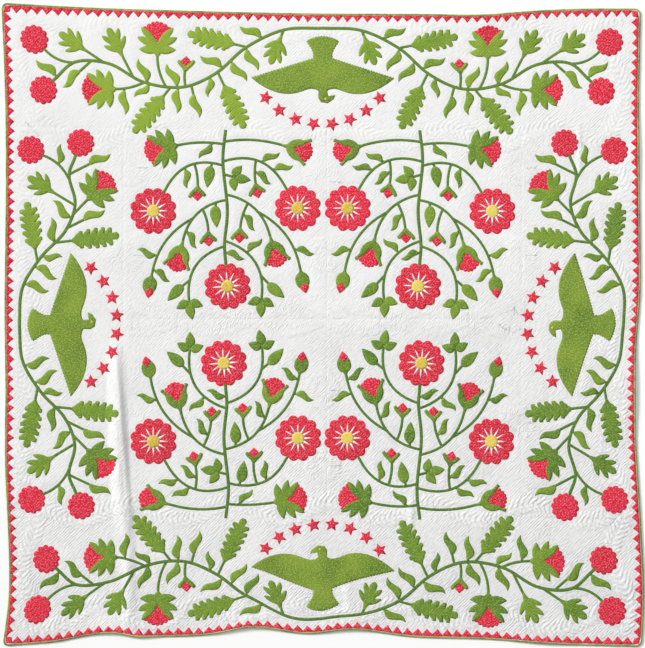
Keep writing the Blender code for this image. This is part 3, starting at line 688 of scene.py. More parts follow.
def whole_outline(half, steps=5):
    """A mirrored outline from the corners of its left half."""
    outline = through(half, steps) + [(half[-1].x, half[-1].y)]
    back = [(x, -y) for x, y in reversed(outline)]
    return outline + (back[1:] if half[-1].y == 0 else back)


def scalloped(radius, petals):
    """A round flower with petals along its edge, drawn clockwise so that they swell outwards."""
    valley = radius * PETAL_VALLEY
    angles = [-2 * math.pi * k / petals for k in range(petals)]
    chord = 2 * valley * math.sin(math.pi / petals)
    sagitta = radius - valley * math.cos(math.pi / petals)
    rim = [Corner(valley * math.cos(a), valley * math.sin(a), sagitta / chord) for a in angles]
    return closed_outline(rim, 6)


def circle(radius, steps=20):
    return [(radius * math.cos(2 * math.pi * k / steps), radius * math.sin(2 * math.pi * k / steps))
            for k in range(steps)]


def star():
    points = []
    for k in range(10):
        r = STAR_RADIUS * (1 if k % 2 == 0 else STAR_INNER)
        angle = math.pi / 2 + math.pi * k / 5
        points.append((r * math.cos(angle), r * math.sin(angle)))
    return points


def star_outlines():
    """Stars in an arc on an eagle's inner side."""
    outlines = []
    for k in range(STARS):
        angle = STAR_ARC_FROM + (STAR_ARC_TO - STAR_ARC_FROM) * k / (STARS - 1)
        middle = (STAR_ARC_RADIUS * math.cos(angle), STAR_ARC_MIDDLE_Y + STAR_ARC_RADIUS * math.sin(angle))
        tilt = STAR_TILT * math.sin(STAR_TILT_STEP * k)
        outlines.append(moved(turned(star(), angle - math.pi / 2 + tilt), *middle))
    return outlines


def leaf(size, curl=0.0, hook=0.0, steps=14):
    """A pointed leaf with its widest place before the middle, which may curl or bend to one side."""
    length, width = size
    half = []
    for k in range(steps + 1):
        t = k / steps
        y = width / 2 * max(0.0, math.sin(math.pi * t ** 0.72)) ** 0.85
        half.append((t * length - 0.002, y))
    outline = half + [(x, -y) for x, y in reversed(half[1:-1])]
    bent = []
    for x, y in outline:
        sway = curl * length * math.sin(2 * math.pi * x / length)
        bent.append((x, y - sway + hook * x * x / length))
    return bent


def oak_leaf(size, lobes):
    """A leaf with round lobes on both sides that lean towards its tip."""
    length, width = size
    pitch = 0.78 * length / lobes
    half = [Corner(-0.003, 0.004), Corner(0.05 * length, 0.16 * width, 0.05)]
    for k in range(lobes):
        start = 0.07 * length + pitch * k
        reach = width / 2 * (0.80 + 0.20 * math.sin(math.pi * (k + 0.4) / lobes))
        lean = 0.60 * (reach - 0.22 * width)
        half.append(Corner(start + 0.12 * pitch + lean, reach - 0.006, 0.08))
        half.append(Corner(start + 0.44 * pitch + lean, reach, 0.30))
        half.append(Corner(start + 0.72 * pitch + lean, reach - 0.007, 0.30))
        half.append(Corner(start + 0.98 * pitch, (0.205 - 0.018 * k) * width, 0.05))
    half.append(Corner(0.91 * length, 0.17 * width, 0.14))
    half.append(Corner(0.98 * length, 0.12 * width, 0.25))
    half.append(Corner(length, 0.0, 0.20))
    return whole_outline(half, 4)


def fan_outline(fan):
    """A red head that opens from a point between its cup's horns to a scalloped rim."""
    rise = fan.top - fan.shoulder_x
    rim = []
    for k in range(fan.scallops + 1):
        across = 1 - 2 * k / fan.scallops
        rim.append((fan.shoulder_x + 0.75 * rise * math.cos(math.pi / 2 * across), fan.shoulder_y * across))
    outline = arc((fan.base, 0.0), rim[0], 0.06, 4)
    for a, b in zip(rim, rim[1:]):
        outline += arc(a, b, 0.34, 6)
    return outline + arc(rim[-1], (fan.base, 0.0), 0.06, 4)


def serrated(points, pitch, depth):
    """Cuts a line into small teeth that stand out on its left."""
    line = np.array(points)
    steps = np.linalg.norm(np.diff(line, axis=0), axis=1)
    places = np.concatenate(([0.0], np.cumsum(steps)))
    count = max(1, round(places[-1] / pitch))
    ways = np.linspace(0, places[-1], 2 * count + 1)
    xs = np.interp(ways, places, line[:, 0])
    ys = np.interp(ways, places, line[:, 1])
    along = np.gradient(np.column_stack((xs, ys)), axis=0)
    along /= np.linalg.norm(along, axis=1)[:, None]
    out = np.where(np.arange(len(ways)) % 2 == 1, depth, 0.0)
    return [(x - out_k * ay, y + out_k * ax) for x, y, out_k, (ax, ay) in zip(xs, ys, out, along)]


def eagle_outline():
    """A spread eagle seen from the front, its head turned to one side, its feathers finely toothed."""
    wing = bent_path(EAGLE_HEAD[-1], EAGLE_WING, 8)
    half = wing + serrated(bent_path(wing[-1], EAGLE_WING_BACK, 8), FEATHER_TOOTH, SERRATION)[1:]
    half += serrated(bent_path(EAGLE_TAIL_ROOT, EAGLE_TAIL, 5), FEATHER_TOOTH, SERRATION)
    left = [(-x, y) for x, y in reversed(half)]
    return list(EAGLE_HEAD[:-1]) + half + left[1:-1]


def without_doubles(points, least=0.0004):
    """Drops a point that lies on the one before it."""
    kept = []
    for point in points:
        if not kept or math.dist(point, kept[-1]) > least:
            kept.append(point)
    while math.dist(kept[0], kept[-1]) <= least:
        kept.pop()
    return kept


def trefoil():
    """Three pointed leaves at the end of a stalk, the middle one farther out."""
    half = STEM_WIDTH / 3
    stalk = [(-0.004, half), (TREFOIL_STALK + 0.004, half), (TREFOIL_STALK + 0.004, -half), (-0.004, -half)]
    leaves = [stalk, moved(leaf(TREFOIL_TOP_LEAF, hook=LEAF_HOOK), TREFOIL_STALK, 0.0)]
    for turn in (TREFOIL_SPREAD, -TREFOIL_SPREAD):
        side_leaf = leaf(TREFOIL_LEAF, hook=-math.copysign(LEAF_HOOK, turn))
        leaves.append(moved(turned(side_leaf, turn), 0.003 * math.cos(turn), 0.004 * math.sin(turn)))
    return leaves


# What sits at the end of a sprig: outlines with their cloth and height, along the sprig's heading.
TIPS = {
    "leaf": [Patch(leaf(LEAF, hook=LEAF_HOOK), "leaf", 0.0)],
    "s leaf": [Patch(leaf(S_LEAF, S_LEAF_CURL), "leaf", 0.0)],
    "small s leaf": [Patch(leaf(SMALL_S_LEAF, -S_LEAF_CURL), "leaf", 0.0)],
    "oak leaf": [Patch(oak_leaf(OAK_LEAF, OAK_LOBES), "leaf", 0.0)],
    "lobed leaf": [Patch(whole_outline(LOBED_LEAF, 4), "leaf", 0.0)],
    "trefoil": [Patch(outline, "leaf", 0.0) for outline in trefoil()],
    "tulip": [Patch(fan_outline(TULIP_FAN), "red", 0.0), Patch(whole_outline(TULIP_CUP), "leaf", CUP_RAISE)],
    "carnation": [
        Patch(fan_outline(CARNATION_FAN), "red", 0.0),
        Patch(whole_outline(CARNATION_CUP), "leaf", CUP_RAISE),
    ],
    "bud": [Patch(closed_outline(BUD_HEAD), "red", 0.0), Patch(closed_outline(BUD_CUP), "leaf", CUP_RAISE)],
    "closed bud": [
        Patch(whole_outline(CLOSED_CUP), "leaf", 0.0),
        Patch(closed_outline(CLOSED_HEAD), "red", CUP_RAISE),
    ],
}


def rose_patches():
    waist = RAY_FROM + 0.6 * (RAY_TO - RAY_FROM)
    ray = [(RAY_FROM, RAY_HALF_WIDTH), (waist, 0.6 * RAY_HALF_WIDTH), (RAY_TO, 0.0005)]
    ray += [(x, -y) for x, y in reversed(ray)]
    rays = [turned(ray, 2 * math.pi * k / ROSE_PETALS) for k in range(ROSE_PETALS)]
    patches = [Patch(scalloped(ROSE_RADIUS, ROSE_PETALS), "rose", BLOOM_RAISE)]
    patches += [Patch(outline, "white", RAY_RAISE) for outline in rays]
    return patches + [Patch(circle(CENTRE_RADIUS), "yellow", CENTRE_RAISE)]


BLOOMS = {
    "rose": (ROSE_RADIUS, rose_patches()),
    "round flower": (FLOWER_RADIUS, [Patch(scalloped(FLOWER_RADIUS, FLOWER_PETALS), "flower", BLOOM_RAISE)]),
}


def smooth_line(points, steps):
    """A curve through a stem's way points."""
    ends = [2 * Vector(points[0]) - Vector(points[1]), 2 * Vector(points[-1]) - Vector(points[-2])]
    knots = [ends[0]] + [Vector(p) for p in points] + [ends[1]]
    line = []
    for a, b, c, d in zip(knots, knots[1:], knots[2:], knots[3:]):
        for k in range(steps):
            t = k / steps
            line.append(0.5 * (2 * b + (c - a) * t + (2 * a - 5 * b + 4 * c - d) * t * t
                               + (3 * b - a - 3 * c + d) * t ** 3))
    return line + [knots[-2]]


class Stem:
    """A stem's middle line, read by its share of the whole length."""

    def __init__(self, line, level):
        self.line = [Vector(p) for p in line]
        self.level = level
        steps = [(b - a).length for a, b in zip(self.line, self.line[1:])]
        self.places = np.concatenate(([0.0], np.cumsum(steps)))
        self.length = float(self.places[-1])

    def point(self, place):
        xs = np.interp(place, self.places, [p.x for p in self.line])
        ys = np.interp(place, self.places, [p.y for p in self.line])
        return Vector((float(xs), float(ys)))

    def heading(self, place):
        near = 0.02 * self.length
        start = max(0.0, min(place, self.length) - near)
        return (self.point(min(self.length, place + near)) - self.point(start)).normalized()

    def sides(self):
        """Points up the stem's middle line, and the way to its left at each."""
        count = max(3, round(self.length / STEM_CELL))
        places = [self.length * k / count for k in range(count + 1)]
        middle = [self.point(place) for place in places]
        lefts = []
        for place in places:
            ahead = self.heading(place)
            lefts.append((-ahead.y, ahead.x))
        return [tuple(p) for p in middle], lefts


def grow(way_points, sprigs):
    """Every stem of a plant by name."""
    stems = {"stem": Stem(smooth_line(way_points, 8), 0)}
    for sprig in sprigs:
        parent = stems[sprig.parent]
        start = parent.point(sprig.at * parent.length)
        end = Vector((sprig.end_x, sprig.end_y))
        chord = end - start
        by = (start + end) / 2 + sprig.bow * Vector((-chord.y, chord.x))
        line = bent_path(tuple(start), (Bend(by.x, by.y, end.x, end.y),), 12)
        stems[sprig.name] = Stem(line, parent.level + 1)
    return stems


def tip_patches(stem, tip):
    """What a stem ends in, at its place, and the stem with its end run in under a bloom."""
    end, ahead = stem.point(stem.length), stem.heading(stem.length)
    patches = TIPS.get(tip)
    if tip in BLOOMS:
        radius, patches = BLOOMS[tip]
        end = end + ahead * (radius + STEM_TO_FLOWER)
        stem = Stem([*stem.line, stem.line[-1] + ahead * BLOOM_TUCK], stem.level)
    turn = math.atan2(ahead.y, ahead.x)
    return stem, [patch._replace(outline=moved(turned(patch.outline, turn), *end)) for patch in patches]


def sprout(way_points, sprigs, stem_tip, fillers, room, others):
    """Adds sprigs in a plant's bare places, where they keep clear of all that is there."""
    sprigs = list(sprigs)
    stems = grow(way_points, sprigs)
    tips = {"stem": stem_tip} | {sprig.name: sprig.tip for sprig in sprigs}
    taken = [np.array(others)] if len(others) else []
    for name, tip in tips.items():
        stem = stems[name]
        taken.append(np.array([tuple(stem.point(s)) for s in np.arange(0, stem.length, SPACING)]))
        taken += [spaced(patch.outline) for patch in tip_patches(stem, tip)[1]]
    parents = [name for name in stems if stems[name].length > LEAST_PARENT]
    for filler in fillers:
        patches = TIPS[filler.tip]
        outline = np.concatenate([spaced(patch.outline) for patch in patches])
        outline = outline[outline[:, 0] > -0.5]
        for name in parents:
            stem = stems[name]
            for k, place in enumerate(np.arange(FILLER_FROM, stem.length - FILLER_TO_END, filler.every)):
                for side in ((-1, 1) if k % 2 else (1, -1)):
                    spot = free_spot(stem, place, side, filler, outline, np.concatenate(taken), room)
                    if spot is None:
                        continue
                    end, cloud = spot
                    label = f"extra {len(sprigs)}"
                    sprigs.append(Sprig(label, name, place / stem.length, end.x, end.y, 0.0, filler.tip))
                    start = stem.point(place)
                    stalk = np.linspace(tuple(start), tuple(end), 8)
                    taken += [cloud, stalk]
    return sprigs


def spaced(outline, step=SPACING):
    """Points a step or less apart along a closed outline."""
    points = []
    for a, b in zip(outline, list(outline[1:]) + [outline[0]]):
        count = max(1, math.ceil(math.dist(a, b) / step))
        run = (b[0] - a[0], b[1] - a[1])
        points += [(a[0] + run[0] * k / count, a[1] + run[1] * k / count) for k in range(count)]
    return np.array(points)


def free_spot(stem, place, side, filler, outline, taken, room):
    """Where a filler's stalk ends and its outline lies, if some turn keeps it clear of all else."""
    start, ahead = stem.point(place), stem.heading(place)
    for turn in FILLER_TURNS:
        angle = math.atan2(ahead.y, ahead.x) + side * turn
        end = start + filler.stalk * Vector((math.cos(angle), math.sin(angle)))
        cloud = np.array(moved(turned(outline, angle), *end))
        if (cloud < (room.x_low, room.y_low)).any() or (cloud > (room.x_high, room.y_high)).any():
            continue
        beyond = cloud[np.linalg.norm(cloud - tuple(start), axis=1) > filler.stalk + 0.014]
        clear = np.linalg.norm(taken - tuple(start), axis=1) > 0.6 * filler.stalk + 0.006
        near = taken[clear & (np.linalg.norm(taken - tuple(end), axis=1) < FILLER_NEAR)]
        if not len(near):
            return end, cloud
        gaps = np.linalg.norm(beyond[:, None] - near[None], axis=2)
        if gaps.min() > filler.clear + STEM_WIDTH / 2:
            return end, cloud
    return None


def inside(points, outline):
    """Which points lie inside a closed outline."""
    x, y = points[:, 0][:, None], points[:, 1][:, None]
    ax, ay = outline.T
    bx, by = np.roll(outline, -1, axis=0).T
    crosses = (ay > y) != (by > y)
    rise = np.where(by == ay, 1.0, by - ay)
    return ((crosses & (x < (bx - ax) * (y - ay) / rise + ax)).sum(axis=1) % 2).astype(bool)


def edge_distance(points, outline):
    """How far each point lies from a closed outline."""
    a = outline
    run = np.roll(outline, -1, axis=0) - a
    offset = points[:, None, :] - a[None]
    share = np.clip((offset * run).sum(axis=2) / np.maximum((run * run).sum(axis=1), 1e-12), 0, 1)
    return np.linalg.norm(offset - share[..., None] * run, axis=2).min(axis=1)


class Cloth:
    """Patches of one piece: nominal points with heights, tints, counts of feathers and faces."""

    def __init__(self):
        self.points = []
        self.heights = []
        self.tints = []
        self.hatches = []
        self.faces = []
        self.size = 0

    def add(self, points, heights, tint, faces, hatch=None):
        self.faces += [[i + self.size for i in face] for face in faces]
        self.points.append(np.asarray(points, float))
        self.heights.append(np.asarray(heights, float))
        self.tints.append(np.full(len(points), tint))
        self.hatches.append(np.zeros(len(points)) if hatch is None else hatch)
        self.size += len(points)

    def build(self, name, cotton):
        whole = [np.concatenate(parts) for parts in (self.points, self.heights, self.tints, self.hatches)]
        points, heights, tints, hatches = whole
        return add_piece(name, points, heights, self.faces, cotton, tint=tints, hatch=hatches)


def add_piece(name, points, heights, faces, cotton, **fields):
    """A piece from nominal points with heights. Its fields are values that its cotton reads."""
    mesh = bpy.data.meshes.new(name)
    mesh.from_pydata(np.column_stack((lay(points), heights)).tolist(), [], faces)
    for field, values in fields.items():
        whole = np.full(len(points), values, np.float32)
        mesh.attributes.new(field, "FLOAT", "POINT").data.foreach_set("value", whole)
    mesh.materials.append(cotton)
    mesh.shade_smooth()
    piece = bpy.data.objects.new(name, mesh)
    bpy.context.scene.collection.objects.link(piece)
    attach(piece, "root")
    return piece


def grid_faces(wide, high, over=False):
    """Quads between the points of a grid, which run row by row. Over, they face the other way."""
    corner = (np.arange(high - 1)[:, None] * wide + np.arange(wide - 1)).ravel()
    faces = np.column_stack((corner, corner + 1, corner + 1 + wide, corner + wide))
    return (faces[:, ::-1] if over else faces).tolist()


# Every patch's flat outline and triangles, which the top reads to sink and quilt round them.
flat_points = []
flat_faces = []
edge_samples = []


def note_flat(points, faces, outline):
    """Keeps a patch's flat shape for the top's own relief."""
    first = len(flat_points)
    flat_points.extend((x, y, 0.0) for x, y in points)
    flat_faces.extend([i + first for i in face] for face in faces)
    edge_samples.extend(spaced(outline, EDGE_STEP).tolist())


def sew_patch(cloth, outline, raised, tint, hatch=None):
    """Adds a patch cut to an outline: a swelling top that ends in a turned-under edge."""
    outline = without_doubles(outline)
    ring = np.array(outline)
    area = np.sum(ring[:, 0] * np.roll(ring[:, 1], -1) - np.roll(ring[:, 0], -1) * ring[:, 1])
    if area < 0:
        ring = ring[::-1].copy()
    low, high = ring.min(axis=0), ring.max(axis=0)
    rows = np.arange(low[1] + PATCH_CELL / 2, high[1], PATCH_CELL * 0.87)
    columns = np.arange(low[0], high[0], PATCH_CELL)
    lattice = np.array([(x + (k % 2) * PATCH_CELL / 2, y) for k, y in enumerate(rows) for x in columns])
    inner = np.empty((0, 2))
    if len(lattice):
        lattice = lattice[inside(lattice, ring)]
    if len(lattice):
        inner = lattice[edge_distance(lattice, ring) > 0.45 * PATCH_CELL]
    every = np.concatenate((ring, inner))
    ways = [Vector(p) for p in every.tolist()]
    found = geometry.delaunay_2d_cdt(ways, [], [list(range(len(ring)))], 1, 1e-7)
    points = np.array([tuple(v) for v in found[0]])
    faces = [list(face) for face in found[2]]
    first = {}
    for index, sources in enumerate(found[3]):
        for source in sources:
            first[source] = index
    border = [first[k] for k in range(len(ring)) if k in first]
    depth = edge_distance(points, ring)
    base = cloth_height(points)
    heights = base + raised + PATCH_RIM + PATCH_SWELL * (1 - np.exp(-depth / PATCH_SWELL_RUN))
    foot = points[border]
    below = len(points)
    count = len(border)
    walls = [(below + i, below + (i + 1) % count, border[(i + 1) % count], border[i]) for i in range(count)]
    cloth.add(
        np.concatenate((points, foot)),
        np.concatenate((heights, base[border] - PATCH_TUCK)),
        tint,
        faces + walls,
        None if hatch is None else hatch(np.concatenate((points, foot))),
    )
    if raised < RAY_RAISE:
        note_flat(points, faces, outline)


def sew_stem(cloth, stem, seat, tint):
    """Adds a stem as a narrow rounded strip of cloth."""
    middle, lefts = stem.sides()
    half = STEM_WIDTH / 2 * (SIDE_STEM_SHARE if stem.level else 1.0)

    def beside(share):
        return [(x + share * half * lx, y + share * half * ly) for (x, y), (lx, ly) in zip(middle, lefts)]

    strips = [placed(beside(share), seat) for share, _ in STEM_SECTION]
    points = np.array([point for row in zip(*strips) for point in row])
    rise = [height - STEM_LEVEL_DROP * stem.level for _, height in STEM_SECTION] * len(middle)
    faces = grid_faces(len(STEM_SECTION), len(middle), seat.mirror)
    cloth.add(points, cloth_height(points) + rise, tint, faces)
    note_flat(points, faces, strips[0] + strips[-1][::-1])


class Wire:
    """A node's output. Sums and products with wires or numbers add nodes of their own."""

    def __init__(self, tree, socket):
        self.tree = tree
        self.socket = socket

    def node(self, kind, inputs, output=0):
        return self.feed(self.tree.nodes.new(kind), inputs, output)

    def feed(self, node, inputs, output=0):
        """Sets a node's inputs, which are wires, numbers or colours, and gives one of its outputs."""
        for name, value in inputs.items():
            if isinstance(value, Wire):
                self.tree.links.new(value.socket, node.inputs[name])
            elif isinstance(value, tuple):
                node.inputs[name].default_value = (*value, 1.0)
            else:
                node.inputs[name].default_value = value
        return Wire(self.tree, node.outputs[output])

    def maths(self, operation, *others):
        node = self.tree.nodes.new("ShaderNodeMath")
        node.operation = operation
        return self.feed(node, dict(enumerate((self, *others))))

    def __add__(self, other):
        return self.maths("ADD", other)

    def __sub__(self, other):
        return self.maths("SUBTRACT", other)

    def __mul__(self, other):
        return self.maths("MULTIPLY", other)

    def flipped(self, whole=1.0):
        """What is left of a whole."""
        return self * -1.0 + whole

    def span(self, low, high, to_low=0.0, to_high=1.0):
        """One range mapped to another, whose ends hold it."""
        ends = {"From Min": low, "From Max": high, "To Min": to_low, "To Max": to_high}
        return self.node("ShaderNodeMapRange", {"Value": self} | ends, "Result")

    def noise(self, scale, detail, rough=0.5):
        """Noise at the places that this wire holds: its lumps a metre, its octaves and its roughness."""
        inputs = {"Vector": self, "Scale": scale, "Detail": detail, "Roughness": rough}
        return self.node("ShaderNodeTexNoise", inputs, "Fac")

    def choose(self, first, second):
        """The first value where this wire is 0, and the second where it is 1."""
        return self.node("ShaderNodeMix", {"Factor": self, 2: first, 3: second})

    def blend(self, first, second):
        """The first colour where this wire is 0, the second where it is 1, and a blend between."""
        node = self.tree.nodes.new("ShaderNodeMix")
        node.data_type = "RGBA"
        return self.feed(node, {"Factor": self, 6: first, 7: second}, 2)


def rows_of_stitches(phase):
    """A ridged profile from a line count: 0 in the stitched lines and 1 on the swell between them."""
    away = (phase.maths("FRACT") - 0.5).maths("ABSOLUTE")
    return (away.flipped(0.5) * math.pi).maths("SINE")


class Cotton:
    """Starts one cotton's node tree, and gives what the cottons share."""

    def __init__(self, name):
        self.material = bpy.data.materials.new(name)
        self.material.use_nodes = True
        self.tree = self.material.node_tree
        self.shader = self.tree.nodes["Principled BSDF"]
        for socket, value in COTTON_FINISH.items():
            self.shader.inputs[socket].default_value = value
        self.place = Wire(self.tree, self.tree.nodes.new("ShaderNodeTexCoord").outputs["Object"])
        self.x = self.place.node("ShaderNodeSeparateXYZ", {0: self.place}, 0)
        self.y = self.place.node("ShaderNodeSeparateXYZ", {0: self.place}, 1)
        c, s = math.cos(LINE_SLOPE), math.sin(LINE_SLOPE)
        self.along = self.x * c + self.y * s
        self.across = self.y * c - self.x * s
        self.wander = self.place.noise(*WANDER) * WANDER_DEPTH

    def attribute(self, name):
        node = self.tree.nodes.new("ShaderNodeAttribute")
        node.attribute_name = name
        return Wire(self.tree, node.outputs["Fac"])

    def straight_lines(self, wander):
        """Counts the straight slanting lines of quilting."""
        return self.across * (1 / LINE_PITCH) + wander

    def dashes(self):
        """Streaks along the slanting lines, where the cloth puckers between stitches."""
        place = {0: self.along * (1 / DASH_LENGTH), 1: self.across * (1 / DASH_WIDTH)}
        return self.place.node("ShaderNodeCombineXYZ", place).noise(1.0, 1.0)

    def weave(self):
        """Warp and weft under a millimetre apart."""
        warp, weft = ((axis * (2 * math.pi / WEAVE_PITCH)).maths("SINE") for axis in (self.x, self.y))
        return warp * weft

    def finish(self, colour, millimetres):
        self.tree.links.new(colour.socket, self.shader.inputs["Base Color"])
        bump = {"Strength": 1.0, "Distance": 0.001, "Height": millimetres}
        normal = millimetres.node("ShaderNodeBump", bump, "Normal")
        self.tree.links.new(normal.socket, self.shader.inputs["Normal"])
        return self.material


def ground_cotton():
    """Off-white cotton. Its quilting echoes the patches, bars the plumes and runs straight elsewhere."""
    cotton = Cotton("ground_cotton")
    wander = cotton.wander + cotton.place.noise(*SHAKE) * SHAKE_DEPTH
    echo = cotton.attribute("echo")
    in_form = cotton.attribute("form").maths("GREATER_THAN", 0.0)
    rows = in_form.choose(cotton.straight_lines(wander), cotton.attribute("hatch"))
    near = echo.maths("LESS_THAN", ECHO_REACH)
    rows = near.choose(rows, echo * (1 / LINE_PITCH) + wander * CURVED_WANDER)
    ridges = rows_of_stitches(rows)
    corner = cotton.y - cotton.x * RELIEF_SLANT
    bold = cotton.place.noise(*BROAD).span(0.3, 0.7, 0.75, 1.35)
    bold = bold * corner.span(RELIEF_FROM, RELIEF_TO, RELIEF_MOST, RELIEF_LEAST)
    broken = cotton.dashes().span(0.36, 0.64, 0.25, 1.35)
    strength = bold * broken * (in_form * BARBED_SHARE + 1.0)
    grain = cotton.place.noise(*GROUND_GRAIN)
    puckers = (cotton.place.noise(*GROUND_PUCKERS) * 0.55 + grain * 1.1) * bold
    height = ridges * strength + puckers + cotton.weave() * 0.012
    colour = cotton.place.noise(*STAIN).span(0.35, 0.75).blend(GROUND, GROUND_STAINED)
    # Painted shade: the colour darkens towards a grey in the stitched lines and in the grain's pucker
    # hollows, more where the relief is bolder.
    painted_shade = ridges.flipped() + grain.span(0.60, 0.35, 0.0, 0.6)
    colour = (painted_shade * (strength * PAINTED_SHADE_SHARE)).blend(colour, GROUND_PAINTED_SHADE)
    return cotton.finish(colour, height)


def dyed_cotton(name, dark, middle, light, feathers=False, swell=0.55, least_worn=0.25, drift=DRIFT):
    """Dyed cotton: darker and lighter by patch, mottled, and worn pale on its swells."""
    cotton = Cotton(name)
    if feathers:
        phase = cotton.attribute("hatch") + cotton.wander * CURVED_WANDER
    else:
        phase = cotton.straight_lines(cotton.wander)
    ridges = rows_of_stitches(phase)
    drift_scale, drift_depth = drift
    broad = cotton.place.noise(drift_scale, 2.0) - 0.5
    own = (cotton.attribute("tint") + broad * drift_depth).span(0.0, 1.0).blend(dark, middle)
    blotch = cotton.place.noise(*BLOTCH).span(0.47, 0.61)
    grain = cotton.place.noise(*DYED_GRAIN).span(0.35, 0.65, 0.55, 1.0)
    worn = blotch * ridges.span(0.1, 1.0, least_worn, 1.0) * grain
    puckers = cotton.place.noise(*DYED_PUCKERS) * 0.8
    height = ridges * swell + puckers + cotton.weave() * 0.015
    return cotton.finish(worn.blend(own, light), height)


def make_cloths():
    """The cottons. A dyed one has its darkest patches' colour, its lightest's and its worn flecks'."""
    eagle = {"feathers": True, "swell": 0.35, "least_worn": 0.60, "drift": EAGLE_DRIFT}
    cloths = {"ground": ground_cotton()}
    for dye, colours in DYES.items():
        cloths[dye] = dyed_cotton(f"{dye}_cotton", *colours, **(eagle if dye == "eagle" else {}))
    return cloths


def make_plant(kind, seat, way_points, sprigs, stem_tip, shade, cloths, random):
    """A plant's stems, leaves and heads, joined by their cloth."""
    stems = grow(way_points, sprigs)
    sewn = {cloth: Cloth() for cloth in PLANT_PIECES}
    tips = {"stem": stem_tip} | {sprig.name: sprig.tip for sprig in sprigs}
    for name, tip in tips.items():
        stem, patches = tip_patches(stems[name], tip)
        sew_stem(sewn["stem"], stem, seat, STEM_SHADE * shade)
        for patch in patches:
            spread = GREEN_SPREAD if patch.cloth == "leaf" else 0.5
            tint = shade if patch.cloth == "leaf" else 0.5
            tint = min(1.0, max(0.0, tint + random.uniform(-spread, spread)))
            sew_patch(sewn[patch.cloth], placed(patch.outline, seat), patch.raised, tint)
    label = f"{kind}_{seat.name}"
    stands_for = {
        "stem": [label],
        "leaf": [label],
        "rose": [f"rose_{seat.name}_{k}" for k in (1, 2, 3)],
        "flower": [f"flower_{seat.name}_{k}" for k in (1, 2)],
    }
    pieces = []
    for cloth, (ending, dye, slot) in PLANT_PIECES.items():
        if sewn[cloth].size:
            piece = sewn[cloth].build(f"{label}_{ending}", cloths[dye])
            if cloth in stands_for:
                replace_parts(piece, *stands_for[cloth])
            pieces.append(piece)
    return pieces


def make_eagle(seat, cloths, random):
    """A spread eagle with its eye, and the arc of stars on its inner side."""
    turn_back = -seat.turn

    def feathers(points):
        own = np.array(turned((points - (seat.x, seat.y)).tolist(), turn_back))
        return (np.abs(own[:, 0]) - 0.55 * own[:, 1]) / FEATHER_PITCH

    bird, eye, stars = Cloth(), Cloth(), Cloth()
    sew_patch(bird, placed(eagle_outline(), seat), 0, 0.6, feathers)
    x, y, radius = EAGLE_EYE
    sew_patch(eye, placed(moved(circle(radius, 10), x, y), seat), CUP_RAISE, 0.5)
    for outline in star_outlines():
        sew_patch(stars, placed(outline, seat), 0, random.uniform(0, 1))
    pieces = [
        bird.build(f"eagle_{seat.name}_body", cloths["eagle"]),
        eye.build(f"eagle_{seat.name}_eye", cloths["yellow"]),
        stars.build(f"stars_{seat.name}", cloths["red"]),
    ]
    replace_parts(pieces[0], "eagle_" + seat.name)
    return pieces


def edge_point(side, along, depth):
    """A nominal point at a depth inside one of the four edges."""
    return {
        "top": (along, HALF_HEIGHT - depth),
        "bottom": (along, depth - HALF_HEIGHT),
        "right": (HALF_WIDTH - depth, along),
        "left": (depth - HALF_WIDTH, along),
    }[side]


def make_teeth(side, cloths, random):
    """A strip of red cloth along the binding, cut by hand into teeth that point inwards."""
    long_side = side in ("top", "bottom")
    half = HALF_WIDTH if long_side else HALF_HEIGHT
    pitch = 2 * (half - TOOTH_TIP) / TEETH_A_SIDE
    cloth = Cloth()
    valleys = TOOTH_VALLEY * random.uniform(*TOOTH_VALLEY_SHARES, TEETH_A_SIDE + 1)
    for k in range(TEETH_A_SIDE):
        start = -half + TOOTH_TIP + k * pitch
        tip = (start + pitch * random.uniform(*TOOTH_MIDDLES), TOOTH_TIP * random.uniform(*TOOTH_TIP_SHARES))
        outline = [(start, TOOTH_BASE), (start, valleys[k])]
        outline += arc(outline[-1], tip, -0.04, 3)[1:] + [tip]
        outline += [(start + pitch, valleys[k + 1]), (start + pitch, TOOTH_BASE)]
        outline = [edge_point(side, along, depth) for along, depth in outline]
        sew_patch(cloth, outline, 0, random.uniform(0, 1))
    if long_side:
        end = half - TOOTH_BASE
        inner = half - TOOTH_TIP
        for sign in (-1, 1):
            corner = [(end, TOOTH_BASE), (inner, TOOTH_BASE), (inner, TOOTH_VALLEY),
                      (half - CORNER_TOOTH_TIP, CORNER_TOOTH_TIP), (end, TOOTH_TIP)]
            outline = [edge_point(side, sign * along, depth) for along, depth in corner]
            sew_patch(cloth, outline, 0, random.uniform(0, 1))
    piece = cloth.build(f"teeth_{side}_cloth", cloths["red"])
    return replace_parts(piece, "teeth_" + side)


def make_binding(side, cloths):
    """One side of the binding, a folded strip rolled over the edge, with mitred ends."""
    half = HALF_WIDTH if side in ("top", "bottom") else HALF_HEIGHT
    count = round(2 * half / BINDING_STEP)
    points, heights = [], []
    for k in range(count + 1):
        share = 2 * k / count - 1
        for i in range(BINDING_FACETS + 1):
            turn = math.pi * (1.5 - BINDING_TURN * i / BINDING_FACETS)
            depth = BINDING_WIDTH * (0.5 + 0.5 * math.cos(turn))
            points.append(edge_point(side, share * (half - depth), depth))
            heights.append(BINDING_HEIGHT * (0.5 + 0.5 * math.sin(turn)))
    points = np.array(points)
    heights = np.array(heights)
    swell = 1 + 0.10 * noise(points, 0.012, 5) * (heights > 0.001)
    tint = np.clip(0.5 + 0.8 * noise(points, 0.055, 7) + 0.5 * noise(points, 0.013, 8), 0, 1)
    faces = grid_faces(BINDING_FACETS + 1, count + 1, side in ("top", "left"))
    heights = lift(points) + heights * swell
    piece = add_piece(f"binding_{side}_cloth", points, heights, faces, cloths["binding"], tint=tint, hatch=0)
    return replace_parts(piece, "binding_" + side)


